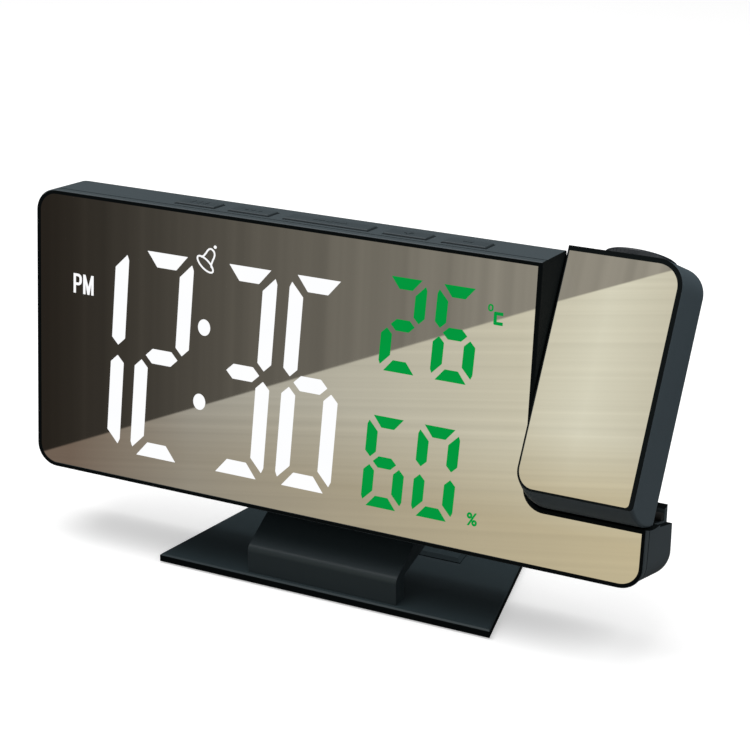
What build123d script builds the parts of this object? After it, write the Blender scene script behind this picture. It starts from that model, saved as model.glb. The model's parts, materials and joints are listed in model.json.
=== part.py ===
"""Projection alarm clock: a mirror-faced clock on a stand, with a swivelling projector arm.

Millimetres and degrees, +Z up, the display facing -Y. The origin lies in the middle of the
base plate's footprint, on the surface that its rubber pad stands on.
"""

from build123d import *
from math import cos, radians, sin, sqrt, tan
import os

os.makedirs("parts", exist_ok=True)

# ---------------------------------------------------------------- driving dimensions
# Case: an L-shaped front with a notch for the arm. The front leans back more than the rear wall,
# and the underside drops towards the back.
CASE_WIDTH = 187.0
CASE_HEIGHT = 82.5
CASE_FRONT_Y = -24.5
CASE_BOTTOM_Z = 23.5
FRONT_LEAN = 5.65
BACK_LEAN = 0.7
CASE_BOTTOM_DEPTH = 23.9
CORNER_RADIUS = 6.5
REAR_REACH = 26.0
REAR_DROP = 5.7
REAR_LOW_RADIUS = 9.4
REAR_ROUND = 0.6
NOTCH_X = 60.5
NOTCH_FLOOR = 17.2
NOTCH_CORNER_RADIUS = 4.8
WALL = 2.0
RIM = 1.2
EDGE_ROUND = 0.4

# Front frame and the layers behind the mirror.
FRAME_DEPTH = 3.0
LEDGE = 1.6
PANEL_RECESS = 0.15
PANEL_THICKNESS = 1.6
MASK_THICKNESS = 5.2
GUIDE_THICKNESS = 1.0
BOARD_THICKNESS = 1.4
MASK_LEFT = -84.0
MASK_RIGHT = 53.0
MASK_BOTTOM = 5.0
MASK_TOP = 75.2

# Display characters, measured up the front from its lower edge.
BIG_HEIGHT = 60.3
BIG_WIDTH = 17.3
BIG_BASE = 8.8
BIG_LEFTS = (-82.6, -61.6, -35.4, -14.3)
BIG_STROKE = 4.3
SMALL_HEIGHT = 26.0
SMALL_WIDTH = 12.1
SMALL_STROKE = 3.2
SMALL_PITCH = 15.05
SMALL_LEFT = 15.8
UPPER_BASE = 46.9
LOWER_BASE = 8.1
LOWER_LEFT = 12.4
SLANT = 2.9
COLON_RADIUS = 2.1
COLON_SPOTS = ((-37.8, 49.9), (-38.9, 28.2))
DEGREE_SPOT = (48.6, 67.0)
PERCENT_SPOT = (45.4, 10.4)
PM_SPOT = (-77.7, 56.4)
BELL_SPOT = (-37.3, 69.5)

# Top buttons: four short ones and a long one in the middle.
BUTTON_START = -51.0
BUTTON_SHORT = 13.0
BUTTON_LONG = 26.0
BUTTON_SPACE = 4.0
BUTTON_DEPTH = 6.6
BUTTON_CENTRE = 7.9
BUTTON_GAP = 0.4
BUTTON_PROUD = 0.5
BUTTON_TRAVEL = 0.5
FLANGE = 0.9

# Arm: a deep flat box on a hinge whose axis runs left to right through its middle.
ARM_TILT = 32.0
ARM_GAP = 0.4
ARM_RIGHT = 93.0
ARM_THICKNESS = 21.8
ARM_TOP_RADIUS = 7.5
ARM_TOP_RISE = 3.2
ARM_WALL = 1.8
ARM_RIM_LEFT = 0.4
ARM_RIM = 1.3
ARM_RIM_BOTTOM = 0.6
ARM_BACK_ROUND = 1.4
PIVOT_UP = 46.6
PIVOT_DEPTH = 11.5
ARM_END_RADIUS = 31.1
SWEEP_RADIUS = 31.6
TROUGH_BACK = 20.4
TROUGH_BACK_FLOOR = 13.0
TROUGH_WALL_END = 91.8
CHEEK_MIDDLE = 14.4
CHEEK_BACK = 11.2

# Hinge.
AXLE_RADIUS = 3.4
AXLE_BORE = 2.0
AXLE_START = 53.4
BUSH_RADIUS = 4.6
BUSH_FLANGE_RADIUS = 5.6
RUNNING_FIT = 0.05
SNUG_FIT = 0.02
SCREW_PASS = 0.1
HEAD_CLEAR = 0.2

# Projector optics, on an axis along the arm.
LENS_X = 77.4
LENS_DEPTH = 10.5
RING_RADIUS = 9.7
RING_HEIGHT = 1.8
RING_POCKET_RADIUS = 10.0
RING_NECK_RADIUS = 7.5
BARREL_RADIUS = 6.4

# Stand.
PLATE_HALF_FRONT = 51.95
PLATE_HALF_REAR = 42.75
PLATE_DEPTH = 50.0
PLATE_THICKNESS = 2.35
PAD_THICKNESS = 0.5
PAD_INSET = 1.2
BRACKET_HALF = 23.3
BRACKET_THICKNESS = 3.2
KNEE_DEPTH = 5.5
KNEE_RADIUS = 2.2
HEEL_HALF = 28.8
HEEL_RISE = 1.2

# ---------------------------------------------------------------- frames and derived places
lean = radians(FRONT_LEAN)
front_dir = Vector(0, -cos(lean), sin(lean))
up_dir = Vector(0, sin(lean), cos(lean))
back_dir = Vector(0, cos(lean), -sin(lean))
case_origin = Vector(0, CASE_FRONT_Y, CASE_BOTTOM_Z)
case_plane = Plane(origin=case_origin, x_dir=(1, 0, 0), z_dir=front_dir)


def case_point(x, up, depth):
    """A place in the case: across, up the front, and back from the front face."""
    return case_origin + Vector(x, 0, 0) + up_dir * up + back_dir * depth


def side_plane(x):
    """A plane across the case at x, with depth and height as its own coordinates."""
    return Plane(origin=case_point(x, 0, 0), x_dir=back_dir, z_dir=(1, 0, 0))


def top_plane(rise):
    """A plane along the top face, with x and depth as its own coordinates."""
    return Plane(origin=case_point(0, CASE_HEIGHT + rise, 0), x_dir=(1, 0, 0), z_dir=up_dir)


back_lean = radians(BACK_LEAN)
rear_plane = Plane(
    origin=(0, CASE_FRONT_Y + CASE_BOTTOM_DEPTH, CASE_BOTTOM_Z),
    x_dir=(-1, 0, 0),
    z_dir=(0, cos(back_lean), -sin(back_lean)),
)

pivot = case_point(0, PIVOT_UP, PIVOT_DEPTH)
tilt = radians(ARM_TILT)
arm_up = Vector(0, sin(tilt), cos(tilt))
arm_front = Vector(0, -cos(tilt), sin(tilt))
arm_plane = Plane(origin=pivot, x_dir=(1, 0, 0), z_dir=arm_front)
ARM_LEFT = NOTCH_X + ARM_GAP
ARM_TOP = CASE_HEIGHT - PIVOT_UP


def hinge_plane(x):
    """A plane square to the hinge axis at x, facing +X."""
    return Plane(origin=(x, pivot.Y, pivot.Z), x_dir=(0, 1, 0), z_dir=(1, 0, 0))


def arm_side(x):
    """A plane across the arm at x, with depth behind the hinge axis and height as its coordinates."""
    return Plane(origin=(x, pivot.Y, pivot.Z), x_dir=arm_front * -1, z_dir=(1, 0, 0))


def lens_plane(up):
    """A plane square to the optical axis, this far up the arm from the hinge axis."""
    centre = pivot + Vector(LENS_X, 0, 0) + arm_up * up + arm_front * (PIVOT_DEPTH - LENS_DEPTH)
    return Plane(origin=centre, x_dir=(1, 0, 0), z_dir=arm_up)


def save(part, name):
    """Label a finished piece and write it as a STEP file of the same name."""
    part.label = name
    export_step(part, f"parts/{name}.step")


def place(centre, normal, across=(1, 0, 0)):
    """A plane at a point, facing along a direction."""
    return Plane(origin=centre, x_dir=across, z_dir=normal)


def screw(head_plane, head_radius, head_height, shaft_radius, shaft_length):
    """A pan-head screw with a cross recess; head_plane lies under the head and faces outwards."""
    with BuildPart() as body:
        with BuildSketch(head_plane):
            Circle(head_radius)
        extrude(amount=head_height)
        fillet(body.faces().sort_by(Axis(head_plane.origin, head_plane.z_dir))[-1].edges(), head_height * 0.4)
        with BuildSketch(head_plane):
            Circle(shaft_radius)
        extrude(amount=-shaft_length)
        with BuildSketch(head_plane.offset(head_height)):
            Rectangle(head_radius * 1.2, head_radius * 0.25)
            Rectangle(head_radius * 0.25, head_radius * 1.2)
        extrude(amount=-head_height * 0.6, mode=Mode.SUBTRACT)
    return body.part


# ---------------------------------------------------------------- case outline
def case_outline(inset, floor=NOTCH_FLOOR, drop=0.0, low_radius=CORNER_RADIUS):
    """The L-shaped outline, moved inwards by an even inset.

    floor is the height of the notch's floor, drop lowers the bottom edge, and low_radius
    rounds the two bottom corners.
    """
    left = -CASE_WIDTH / 2 + inset
    right = CASE_WIDTH / 2 - inset
    top = CASE_HEIGHT - inset
    bottom = inset - drop
    step = floor - inset
    notch = NOTCH_X - inset
    with BuildSketch() as outline:
        with BuildLine():
            Polyline(
                (left, bottom), (right, bottom), (right, step), (notch, step), (notch, top), (left, top),
                close=True,
            )
        make_face()
        low_corners = [(left, bottom), (right, bottom)]
        fillet([outline.vertices().sort_by_distance(c)[0] for c in low_corners], low_radius - inset)
        fillet(outline.vertices().sort_by_distance((left, top))[0], CORNER_RADIUS - inset)
        fillet(outline.vertices().sort_by_distance((notch, step))[0], NOTCH_CORNER_RADIUS + inset)
    return outline.sketch


# The space that the arm's rounded lower end sweeps through.
with BuildPart() as arm_sweep:
    with BuildSketch(hinge_plane(NOTCH_X)):
        Circle(SWEEP_RADIUS)
    extrude(amount=CASE_WIDTH / 2 + WALL - NOTCH_X)
    fillet(arm_sweep.edges().sort_by(Axis.X)[0], NOTCH_CORNER_RADIUS)

POSTS = (
    (-CASE_WIDTH / 2 + 4.9, 8.0),
    (-CASE_WIDTH / 2 + 4.9, 71.0),
    (CASE_WIDTH / 2 - 4.9, 6.6),
    (NOTCH_X - 4.8, CASE_HEIGHT - 6.2),
)
POST_RADIUS = 2.5
PILLAR_RADIUS = 3.1
POST_END = 11.6
POST_BLOCK = 5.0
CASE_SCREW_RADIUS = 1.2
SCREW_HEAD_RADIUS = 2.3
SCREW_HEAD_HEIGHT = 1.4
CASE_SCREW_TIP = 5.5

# Front frame: the thin dark rim around the mirror, with a ledge behind it and four screw posts.
with BuildPart() as front_frame:
    with BuildSketch(case_plane):
        add(case_outline(0))
    extrude(amount=-FRAME_DEPTH)
    front_edges = front_frame.edges().group_by(Axis((0, 0, 0), front_dir))[-1]
    fillet(front_edges, EDGE_ROUND)
    with BuildSketch(case_plane):
        add(case_outline(RIM))
    extrude(amount=-PANEL_RECESS - PANEL_THICKNESS, mode=Mode.SUBTRACT)
    with BuildSketch(case_plane):
        add(case_outline(RIM + LEDGE))
    extrude(amount=-FRAME_DEPTH, mode=Mode.SUBTRACT)
    with BuildSketch(case_plane.offset(-PANEL_RECESS - PANEL_THICKNESS)):
        with Locations(*POSTS):
            Rectangle(POST_BLOCK, POST_BLOCK)
    extrude(amount=PANEL_RECESS + PANEL_THICKNESS - FRAME_DEPTH)
    with BuildSketch(case_plane.offset(-FRAME_DEPTH)):
        with Locations(*POSTS):
            Circle(POST_RADIUS)
    extrude(amount=FRAME_DEPTH - POST_END)
    with BuildSketch(case_plane.offset(-POST_END)):
        with Locations(*POSTS):
            Circle(CASE_SCREW_RADIUS + SNUG_FIT)
    extrude(amount=POST_END - FRAME_DEPTH, mode=Mode.SUBTRACT)
    add(arm_sweep.part, mode=Mode.SUBTRACT)
save(front_frame.part, "front_frame")

# Mirror panel: acrylic with a half-silvered film, flush inside the rim.
with BuildPart() as mirror_panel:
    with BuildSketch(case_plane.offset(-PANEL_RECESS)):
        add(case_outline(RIM + SNUG_FIT))
    extrude(amount=-PANEL_THICKNESS)
save(mirror_panel.part, "mirror_panel")

# ---------------------------------------------------------------- rear shell
CAVITY_FLOOR = TROUGH_BACK_FLOOR
with BuildPart() as case_cavity:
    with BuildSketch(case_plane.offset(-FRAME_DEPTH)):
        add(case_outline(WALL, CAVITY_FLOOR))
    with BuildSketch(case_plane.offset(-REAR_REACH)):
        add(case_outline(WALL, CAVITY_FLOOR, REAR_DROP, REAR_LOW_RADIUS))
    loft(ruled=True)
    split(bisect_by=rear_plane.offset(-WALL), keep=Keep.BOTTOM)

button_sizes = (BUTTON_SHORT, BUTTON_SHORT, BUTTON_LONG, BUTTON_SHORT, BUTTON_SHORT)
button_spots = []
edge = BUTTON_START
for size in button_sizes:
    button_spots.append(edge + size / 2)
    edge += size + BUTTON_SPACE

DOOR_X = -50.0
DOOR_WIDTH = 24.0
DOOR_HEIGHT = 25.0
DOOR_THICKNESS = 1.3
DOOR_CLEAR = 0.2
DOOR_BOTTOM = 1.0
DOOR_LEDGE = 1.5
CELL_SPOT = (-50.0, 13.6)
CELL_RADIUS = 10.0
CELL_THICKNESS = 3.2
SOCKET_SPOT = (38.0, 9.0)
SOCKET_RADIUS = 3.9
SOCKET_BORE = 2.0
SOCKET_PIN = 0.6
BUZZER_SPOT = (18.0, 40.0)
BUZZER_RADIUS = 6.0
BUZZER_HEIGHT = 3.6
SOUND_HOLE = 0.8
SOUND_RING = 3.2
SOUND_HOLES = 6
VENT_SPOT = (-76.0, 34.0)
VENT_COUNT = 6
VENT_PITCH = 3.0
VENT_SIZE = (16, 1.5)
SENSOR_SPOT = (-76.0, 36.0)
STAND_SCREW_X = 13.0
STAND_SCREW_DEPTH = 19.4
STAND_SCREWS = ((-STAND_SCREW_X, STAND_SCREW_DEPTH), (STAND_SCREW_X, STAND_SCREW_DEPTH))
STAND_SCREW_RADIUS = 1.4
STAND_SCREW_LENGTH = 7.6
STAND_SEAT = -6.4
STAND_BOSS_START = -3.3
STAND_BOSS_LENGTH = 6.0
STAND_BOSS_RADIUS = 2.5
BOARD_POSTS = ((-30.0, 12.0), (-62.0, 52.0), (30.0, 20.0), (42.0, 52.0))
MAIN_BOARD_DEPTH = 11.9
BOARD_POST_RADIUS = 2.4
BOARD_SCREW_RADIUS = 1.0


def at_rear(spots):
    """Rear-wall coordinates of places given as x and height; the rear plane looks the other way."""
    return [(-x, up) for x, up in spots]


def pillars(spots, radius, start):
    """Round pillars from a depth in the case back to the rear wall."""
    with BuildPart() as group:
        with BuildSketch(case_plane.offset(-start)):
            with Locations(*spots):
                Circle(radius)
        extrude(amount=-CASE_BOTTOM_DEPTH)
        split(bisect_by=rear_plane.offset(-WALL / 2), keep=Keep.BOTTOM)
    return group.part


case_pillars = pillars(POSTS, PILLAR_RADIUS, POST_END + DOOR_CLEAR)
board_pillars = pillars(BOARD_POSTS, BOARD_POST_RADIUS, MAIN_BOARD_DEPTH + BOARD_THICKNESS)
HEAD_SINK = 3.2


def rear_depth(up):
    """Depth of the rear wall's outer face behind the front face, this far up the front."""
    bottom = case_point(0, up, 0)
    rise = bottom.Z - CASE_BOTTOM_Z
    gap = CASE_FRONT_Y + CASE_BOTTOM_DEPTH + rise * tan(back_lean) - bottom.Y
    return gap / (cos(lean) + sin(lean) * tan(back_lean))


with BuildPart() as rear_shell:
    with BuildSketch(case_plane.offset(-FRAME_DEPTH)):
        add(case_outline(0))
    with BuildSketch(case_plane.offset(-REAR_REACH)):
        add(case_outline(0, NOTCH_FLOOR, REAR_DROP, REAR_LOW_RADIUS))
    loft(ruled=True)
    split(bisect_by=rear_plane, keep=Keep.BOTTOM)
    rear_face = rear_shell.faces().sort_by(Axis((0, 0, 0), rear_plane.z_dir))[-1]
    notch_corner = case_point(NOTCH_X, NOTCH_FLOOR, CASE_BOTTOM_DEPTH)
    rear_edges = rear_face.outer_wire().edges().sort_by_distance(notch_corner)
    fillet(rear_edges[3:], REAR_ROUND)
    add(case_cavity.part, mode=Mode.SUBTRACT)
    add(case_pillars)
    add(board_pillars)
    # The trough for the arm's rounded end, deeper towards the back, with a low wall behind it.
    add(arm_sweep.part, mode=Mode.SUBTRACT)
    trough_floor = PIVOT_UP - SWEEP_RADIUS
    with BuildSketch(side_plane(NOTCH_X + NOTCH_CORNER_RADIUS)):
        Polygon(
            (PIVOT_DEPTH, trough_floor), (TROUGH_BACK, TROUGH_BACK_FLOOR),
            (TROUGH_BACK, PIVOT_UP), (PIVOT_DEPTH, PIVOT_UP), align=None,
        )
    extrude(amount=CASE_WIDTH / 2 - NOTCH_X, mode=Mode.SUBTRACT)
    with BuildSketch(side_plane(TROUGH_WALL_END)):
        Polygon(
            (PIVOT_DEPTH, CHEEK_MIDDLE), (CASE_BOTTOM_DEPTH + WALL, CHEEK_BACK),
            (CASE_BOTTOM_DEPTH + WALL, PIVOT_UP), (PIVOT_DEPTH, PIVOT_UP), align=None,
        )
    extrude(amount=CASE_WIDTH / 2 - TROUGH_WALL_END + WALL, mode=Mode.SUBTRACT)
    # Hinge bore and, around it, the seat of the bush.
    with BuildSketch(hinge_plane(NOTCH_X - 2 * WALL)):
        Circle(BUSH_RADIUS + SNUG_FIT)
    extrude(amount=3 * WALL, mode=Mode.SUBTRACT)
    # Openings for the buttons in the top wall.
    with BuildSketch(top_plane(0)):
        for spot, size in zip(button_spots, button_sizes):
            with Locations((spot, BUTTON_CENTRE)):
                Rectangle(size, BUTTON_DEPTH)
    extrude(amount=-2 * WALL, mode=Mode.SUBTRACT)
    # Battery opening with a rebate and a ledge that carries the door.
    with BuildSketch(rear_plane):
        with Locations((-DOOR_X, DOOR_BOTTOM + DOOR_HEIGHT / 2)):
            Rectangle(DOOR_WIDTH + 2 * DOOR_CLEAR, DOOR_HEIGHT + 2 * DOOR_CLEAR)
    extrude(amount=-DOOR_THICKNESS, mode=Mode.SUBTRACT)
    with BuildSketch(rear_plane):
        with Locations((-DOOR_X, DOOR_BOTTOM + DOOR_HEIGHT / 2)):
            Rectangle(DOOR_WIDTH - 2 * DOOR_LEDGE, DOOR_HEIGHT - 2 * DOOR_LEDGE)
    extrude(amount=-2 * WALL, mode=Mode.SUBTRACT)
    # Power socket hole, buzzer holes and sensor vents.
    with BuildSketch(rear_plane):
        with Locations(*at_rear([SOCKET_SPOT])):
            Circle(SOCKET_RADIUS + SCREW_PASS)
        with Locations(*at_rear([BUZZER_SPOT])):
            Circle(SOUND_HOLE)
            with PolarLocations(SOUND_RING, SOUND_HOLES):
                Circle(SOUND_HOLE)
        for row in range(VENT_COUNT):
            with Locations((-VENT_SPOT[0], VENT_SPOT[1] + row * VENT_PITCH)):
                SlotOverall(*VENT_SIZE)
    extrude(amount=-2 * WALL, mode=Mode.SUBTRACT)
    # Case screws: counterbored from behind.
    for x, up in POSTS:
        with BuildSketch(case_plane.offset(HEAD_SINK - rear_depth(up))):
            with Locations((x, up)):
                Circle(SCREW_HEAD_RADIUS + HEAD_CLEAR)
        extrude(amount=-2 * HEAD_SINK, mode=Mode.SUBTRACT)
        with BuildSketch(case_plane.offset(-POST_END)):
            with Locations((x, up)):
                Circle(CASE_SCREW_RADIUS + SNUG_FIT)
        extrude(amount=-CASE_BOTTOM_DEPTH, mode=Mode.SUBTRACT)
    with BuildSketch(case_plane.offset(-MAIN_BOARD_DEPTH)):
        with Locations(*BOARD_POSTS):
            Circle(BOARD_SCREW_RADIUS + SNUG_FIT)
    extrude(amount=-5, mode=Mode.SUBTRACT)
    # Bosses for the two screws that hold the case on its bracket.
    with BuildSketch(place(case_point(0, STAND_BOSS_START, 0), up_dir)):
        with Locations(*STAND_SCREWS):
            Circle(STAND_BOSS_RADIUS)
    extrude(amount=STAND_BOSS_LENGTH)
    with BuildSketch(place(case_point(0, STAND_SEAT, 0), up_dir)):
        with Locations(*STAND_SCREWS):
            Circle(STAND_SCREW_RADIUS + SNUG_FIT)
    extrude(amount=STAND_SCREW_LENGTH + 0.4, mode=Mode.SUBTRACT)
save(rear_shell.part, "rear_shell")

with BuildPart() as case_screws:
    for x, up in POSTS:
        head = place(case_point(x, up, rear_depth(up) - HEAD_SINK), back_dir)
        shaft = rear_depth(up) - HEAD_SINK - CASE_SCREW_TIP
        add(screw(head, SCREW_HEAD_RADIUS, SCREW_HEAD_HEIGHT, CASE_SCREW_RADIUS, shaft))
save(case_screws.part, "case_screws")

# Rubber bead along the trough, which cushions the arm's lower end.
BEAD_RADIUS = 1.1
with BuildPart() as trough_bead:
    with BuildSketch(side_plane(NOTCH_X + NOTCH_CORNER_RADIUS + 1)):
        with Locations((TROUGH_BACK - BEAD_RADIUS - 0.6, TROUGH_BACK_FLOOR + BEAD_RADIUS + 0.45)):
            Circle(BEAD_RADIUS)
    extrude(amount=TROUGH_WALL_END - NOTCH_X - NOTCH_CORNER_RADIUS - 1)
save(trough_bead.part, "trough_bead")

# ---------------------------------------------------------------- display
SEGMENTS_OF = {"0": "abcdef", "1": "bc", "2": "abged", "3": "abgcd", "6": "afgecd"}


def segment_outlines(width, height, stroke):
    """The seven bars of an upright digit with its lower left corner at the origin."""
    middle = height / 2
    corner = stroke * 0.5
    bevel = stroke * 1.3
    top_bar = [
        (corner, height), (width - corner, height),
        (width - bevel, height - stroke), (bevel, height - stroke),
    ]
    middle_bar = [
        (stroke * 0.8, middle), (bevel, middle + corner), (width - bevel, middle + corner),
        (width - stroke * 0.8, middle), (width - bevel, middle - corner), (bevel, middle - corner),
    ]
    upper_left = [
        (0, height - stroke * 0.85), (stroke * 0.15, height - corner), (stroke, height - stroke * 1.4),
        (stroke, middle + stroke * 0.85), (corner, middle + stroke * 0.35), (0, middle + stroke * 0.85),
    ]
    bars = {"a": top_bar, "g": middle_bar, "f": upper_left}
    bars["b"] = [(width - x, y) for x, y in upper_left]
    bars["e"] = [(x, height - y) for x, y in upper_left]
    bars["c"] = [(width - x, height - y) for x, y in upper_left]
    bars["d"] = [(x, height - y) for x, y in top_bar]
    return bars


def digit_bars(digit, left, base, width, height, stroke):
    """The lit bars of one leaning digit, placed on the front face."""
    bars = segment_outlines(width, height, stroke)
    lean_over = tan(radians(SLANT))
    return [[(left + x + y * lean_over, base + y) for x, y in bars[name]] for name in SEGMENTS_OF[digit]]


time_bars = []
for digit, left in zip("1236", BIG_LEFTS):
    time_bars += digit_bars(digit, left, BIG_BASE, BIG_WIDTH, BIG_HEIGHT, BIG_STROKE)
climate_bars = []
for text, left, base in (("26", SMALL_LEFT, UPPER_BASE), ("60", LOWER_LEFT, LOWER_BASE)):
    for place_number, digit in enumerate(text):
        climate_bars += digit_bars(
            digit, left + place_number * SMALL_PITCH, base, SMALL_WIDTH, SMALL_HEIGHT, SMALL_STROKE
        )

DISPLAY_SCREW_RADIUS = 0.8
DISPLAY_SCREW_HEAD = 1.6
DISPLAY_HEAD_HEIGHT = 1.0
DISPLAY_SCREW_GRIP = 3.5
FILM_THICKNESS = 0.3
MASK_FRONT = PANEL_RECESS + PANEL_THICKNESS
DISPLAY_BOARD_FRONT = MASK_FRONT + MASK_THICKNESS
SIGN_WINDOWS = ((PM_SPOT, 7.4, 6.2), (BELL_SPOT, 6.6, 7.6), (DEGREE_SPOT, 5.4, 6.6), (PERCENT_SPOT, 5.6, 6.0))
DISPLAY_SCREWS = (
    (MASK_LEFT + 2, MASK_BOTTOM + 2), (MASK_LEFT + 2, MASK_TOP - 2),
    (MASK_RIGHT - 2, MASK_BOTTOM + 2), (MASK_RIGHT - 2, MASK_TOP - 2),
)


def bar_sketch(bars, shrink):
    """All bars as one flat sketch, each a little smaller than its window."""
    with BuildSketch() as lit:
        for bar in bars:
            Polygon(*bar, align=None)
        if shrink:
            offset(amount=-shrink, kind=Kind.INTERSECTION, mode=Mode.REPLACE)
    return lit.sketch


time_windows = bar_sketch(time_bars, 0)
climate_windows = bar_sketch(climate_bars, 0)
mask_middle = ((MASK_LEFT + MASK_RIGHT) / 2, (MASK_BOTTOM + MASK_TOP) / 2)
mask_size = (MASK_RIGHT - MASK_LEFT, MASK_TOP - MASK_BOTTOM)

with BuildPart() as light_mask:
    with BuildSketch(case_plane.offset(-MASK_FRONT)):
        with Locations(mask_middle):
            Rectangle(*mask_size)
    extrude(amount=-MASK_THICKNESS)
    with BuildSketch(case_plane.offset(-MASK_FRONT)):
        add(time_windows)
        add(climate_windows)
        with Locations(*COLON_SPOTS):
            Circle(COLON_RADIUS)
        for spot, wide, high in SIGN_WINDOWS:
            with Locations(spot):
                Rectangle(wide, high)
    extrude(amount=-MASK_THICKNESS, mode=Mode.SUBTRACT)
    with BuildSketch(case_plane.offset(-MASK_FRONT - MASK_THICKNESS)):
        with Locations(*DISPLAY_SCREWS):
            Circle(DISPLAY_SCREW_RADIUS + SNUG_FIT)
    extrude(amount=MASK_THICKNESS - 1, mode=Mode.SUBTRACT)
save(light_mask.part, "light_mask")

with BuildPart() as time_light_guides:
    with BuildSketch(case_plane.offset(-MASK_FRONT)):
        add(bar_sketch(time_bars, SNUG_FIT))
        with Locations(*COLON_SPOTS):
            Circle(COLON_RADIUS - SNUG_FIT)
    extrude(amount=-GUIDE_THICKNESS)
save(time_light_guides.part, "time_light_guides")

with BuildPart() as climate_light_guides:
    with BuildSketch(case_plane.offset(-MASK_FRONT)):
        add(bar_sketch(climate_bars, SNUG_FIT))
    extrude(amount=-GUIDE_THICKNESS)
save(climate_light_guides.part, "climate_light_guides")

with BuildPart() as sign_films:
    with BuildSketch(case_plane.offset(-MASK_FRONT)):
        for spot, wide, high in SIGN_WINDOWS:
            with Locations(spot):
                Rectangle(wide - 2 * SNUG_FIT, high - 2 * SNUG_FIT)
    extrude(amount=-FILM_THICKNESS)
save(sign_films.part, "sign_films")

with BuildPart() as display_board:
    with BuildSketch(case_plane.offset(-DISPLAY_BOARD_FRONT)):
        with Locations(mask_middle):
            Rectangle(*mask_size)
        with Locations(*DISPLAY_SCREWS):
            Circle(DISPLAY_SCREW_RADIUS + SNUG_FIT, mode=Mode.SUBTRACT)
    extrude(amount=-BOARD_THICKNESS)
save(display_board.part, "display_board")


def bar_middle(bar):
    """The middle of a bar's outline."""
    return (sum(x for x, _ in bar) / len(bar), sum(y for _, y in bar) / len(bar))


LED_SIZE = 1.6
LED_HEIGHT = 0.7
with BuildPart() as display_leds:
    with BuildSketch(case_plane.offset(-DISPLAY_BOARD_FRONT)):
        spots = [bar_middle(bar) for bar in time_bars + climate_bars]
        spots += list(COLON_SPOTS) + [spot for spot, _, _ in SIGN_WINDOWS]
        with Locations(*spots):
            Rectangle(LED_SIZE, LED_SIZE)
    extrude(amount=LED_HEIGHT)
save(display_leds.part, "display_leds")

with BuildPart() as display_screws:
    for x, up in DISPLAY_SCREWS:
        head = place(case_point(x, up, DISPLAY_BOARD_FRONT + BOARD_THICKNESS), back_dir)
        shaft = BOARD_THICKNESS + DISPLAY_SCREW_GRIP
        add(screw(head, DISPLAY_SCREW_HEAD, DISPLAY_HEAD_HEIGHT, DISPLAY_SCREW_RADIUS, shaft))
save(display_screws.part, "display_screws")

# ---------------------------------------------------------------- boards and what they carry
MAIN_LEFT = -66.0
MAIN_RIGHT = 48.0
MAIN_BOTTOM = 9.5
MAIN_TOP = 58.0
BOARD_SCREW_HEAD = 1.9
BOARD_HEAD_HEIGHT = 1.1
BOARD_SCREW_GRIP = 2.4
CHIP_SPOT = (-8, 36)
CHIP_SIDE = 10
CHIP_HEIGHT = 1.6
LINK_SPOT = (-8, 55)
LINK_SIZE = (20, 2.5)
main_back = MAIN_BOARD_DEPTH + BOARD_THICKNESS
with BuildPart() as main_board:
    with BuildSketch(case_plane.offset(-MAIN_BOARD_DEPTH)):
        with Locations(((MAIN_LEFT + MAIN_RIGHT) / 2, (MAIN_BOTTOM + MAIN_TOP) / 2)):
            Rectangle(MAIN_RIGHT - MAIN_LEFT, MAIN_TOP - MAIN_BOTTOM)
        with Locations(*BOARD_POSTS):
            Circle(BOARD_SCREW_RADIUS + SNUG_FIT, mode=Mode.SUBTRACT)
    extrude(amount=-BOARD_THICKNESS)
save(main_board.part, "main_board")

with BuildPart() as board_screws:
    for x, up in BOARD_POSTS:
        head = place(case_point(x, up, MAIN_BOARD_DEPTH), front_dir)
        shaft = BOARD_THICKNESS + BOARD_SCREW_GRIP
        add(screw(head, BOARD_SCREW_HEAD, BOARD_HEAD_HEIGHT, BOARD_SCREW_RADIUS, shaft))
save(board_screws.part, "board_screws")

with BuildPart() as control_chip:
    with BuildSketch(case_plane.offset(-main_back)):
        with Locations(CHIP_SPOT):
            Rectangle(CHIP_SIDE, CHIP_SIDE)
    extrude(amount=-CHIP_HEIGHT)
save(control_chip.part, "control_chip")

with BuildPart() as board_link:
    with BuildSketch(case_plane.offset(-DISPLAY_BOARD_FRONT - BOARD_THICKNESS)):
        with Locations(LINK_SPOT):
            Rectangle(*LINK_SIZE)
    extrude(amount=DISPLAY_BOARD_FRONT + BOARD_THICKNESS - MAIN_BOARD_DEPTH)
save(board_link.part, "board_link")

with BuildPart() as buzzer:
    with BuildSketch(case_plane.offset(-main_back)):
        with Locations(BUZZER_SPOT):
            Circle(BUZZER_RADIUS)
    extrude(amount=-BUZZER_HEIGHT)
    with BuildSketch(case_plane.offset(-main_back - BUZZER_HEIGHT)):
        with Locations(BUZZER_SPOT):
            Circle(BUZZER_RADIUS / 5)
    extrude(amount=BUZZER_HEIGHT / 2, mode=Mode.SUBTRACT)
save(buzzer.part, "buzzer")

# Coin cell holder: an open ring with a floor, on the board behind the battery opening.
HOLDER_HEIGHT = 5.0
HOLDER_FLOOR = 1.2
HOLDER_WALL = 1.3
HOLDER_GAP = (9, 8)
with BuildPart() as cell_holder:
    with BuildSketch(case_plane.offset(-main_back)):
        with Locations(CELL_SPOT):
            Circle(CELL_RADIUS + HOLDER_WALL)
    extrude(amount=-HOLDER_HEIGHT)
    with BuildSketch(case_plane.offset(-main_back - HOLDER_FLOOR)):
        with Locations(CELL_SPOT):
            Circle(CELL_RADIUS + 0.1)
        with Locations((CELL_SPOT[0], CELL_SPOT[1] + CELL_RADIUS)):
            Rectangle(*HOLDER_GAP)
    extrude(amount=-HOLDER_HEIGHT, mode=Mode.SUBTRACT)
save(cell_holder.part, "cell_holder")

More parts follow.
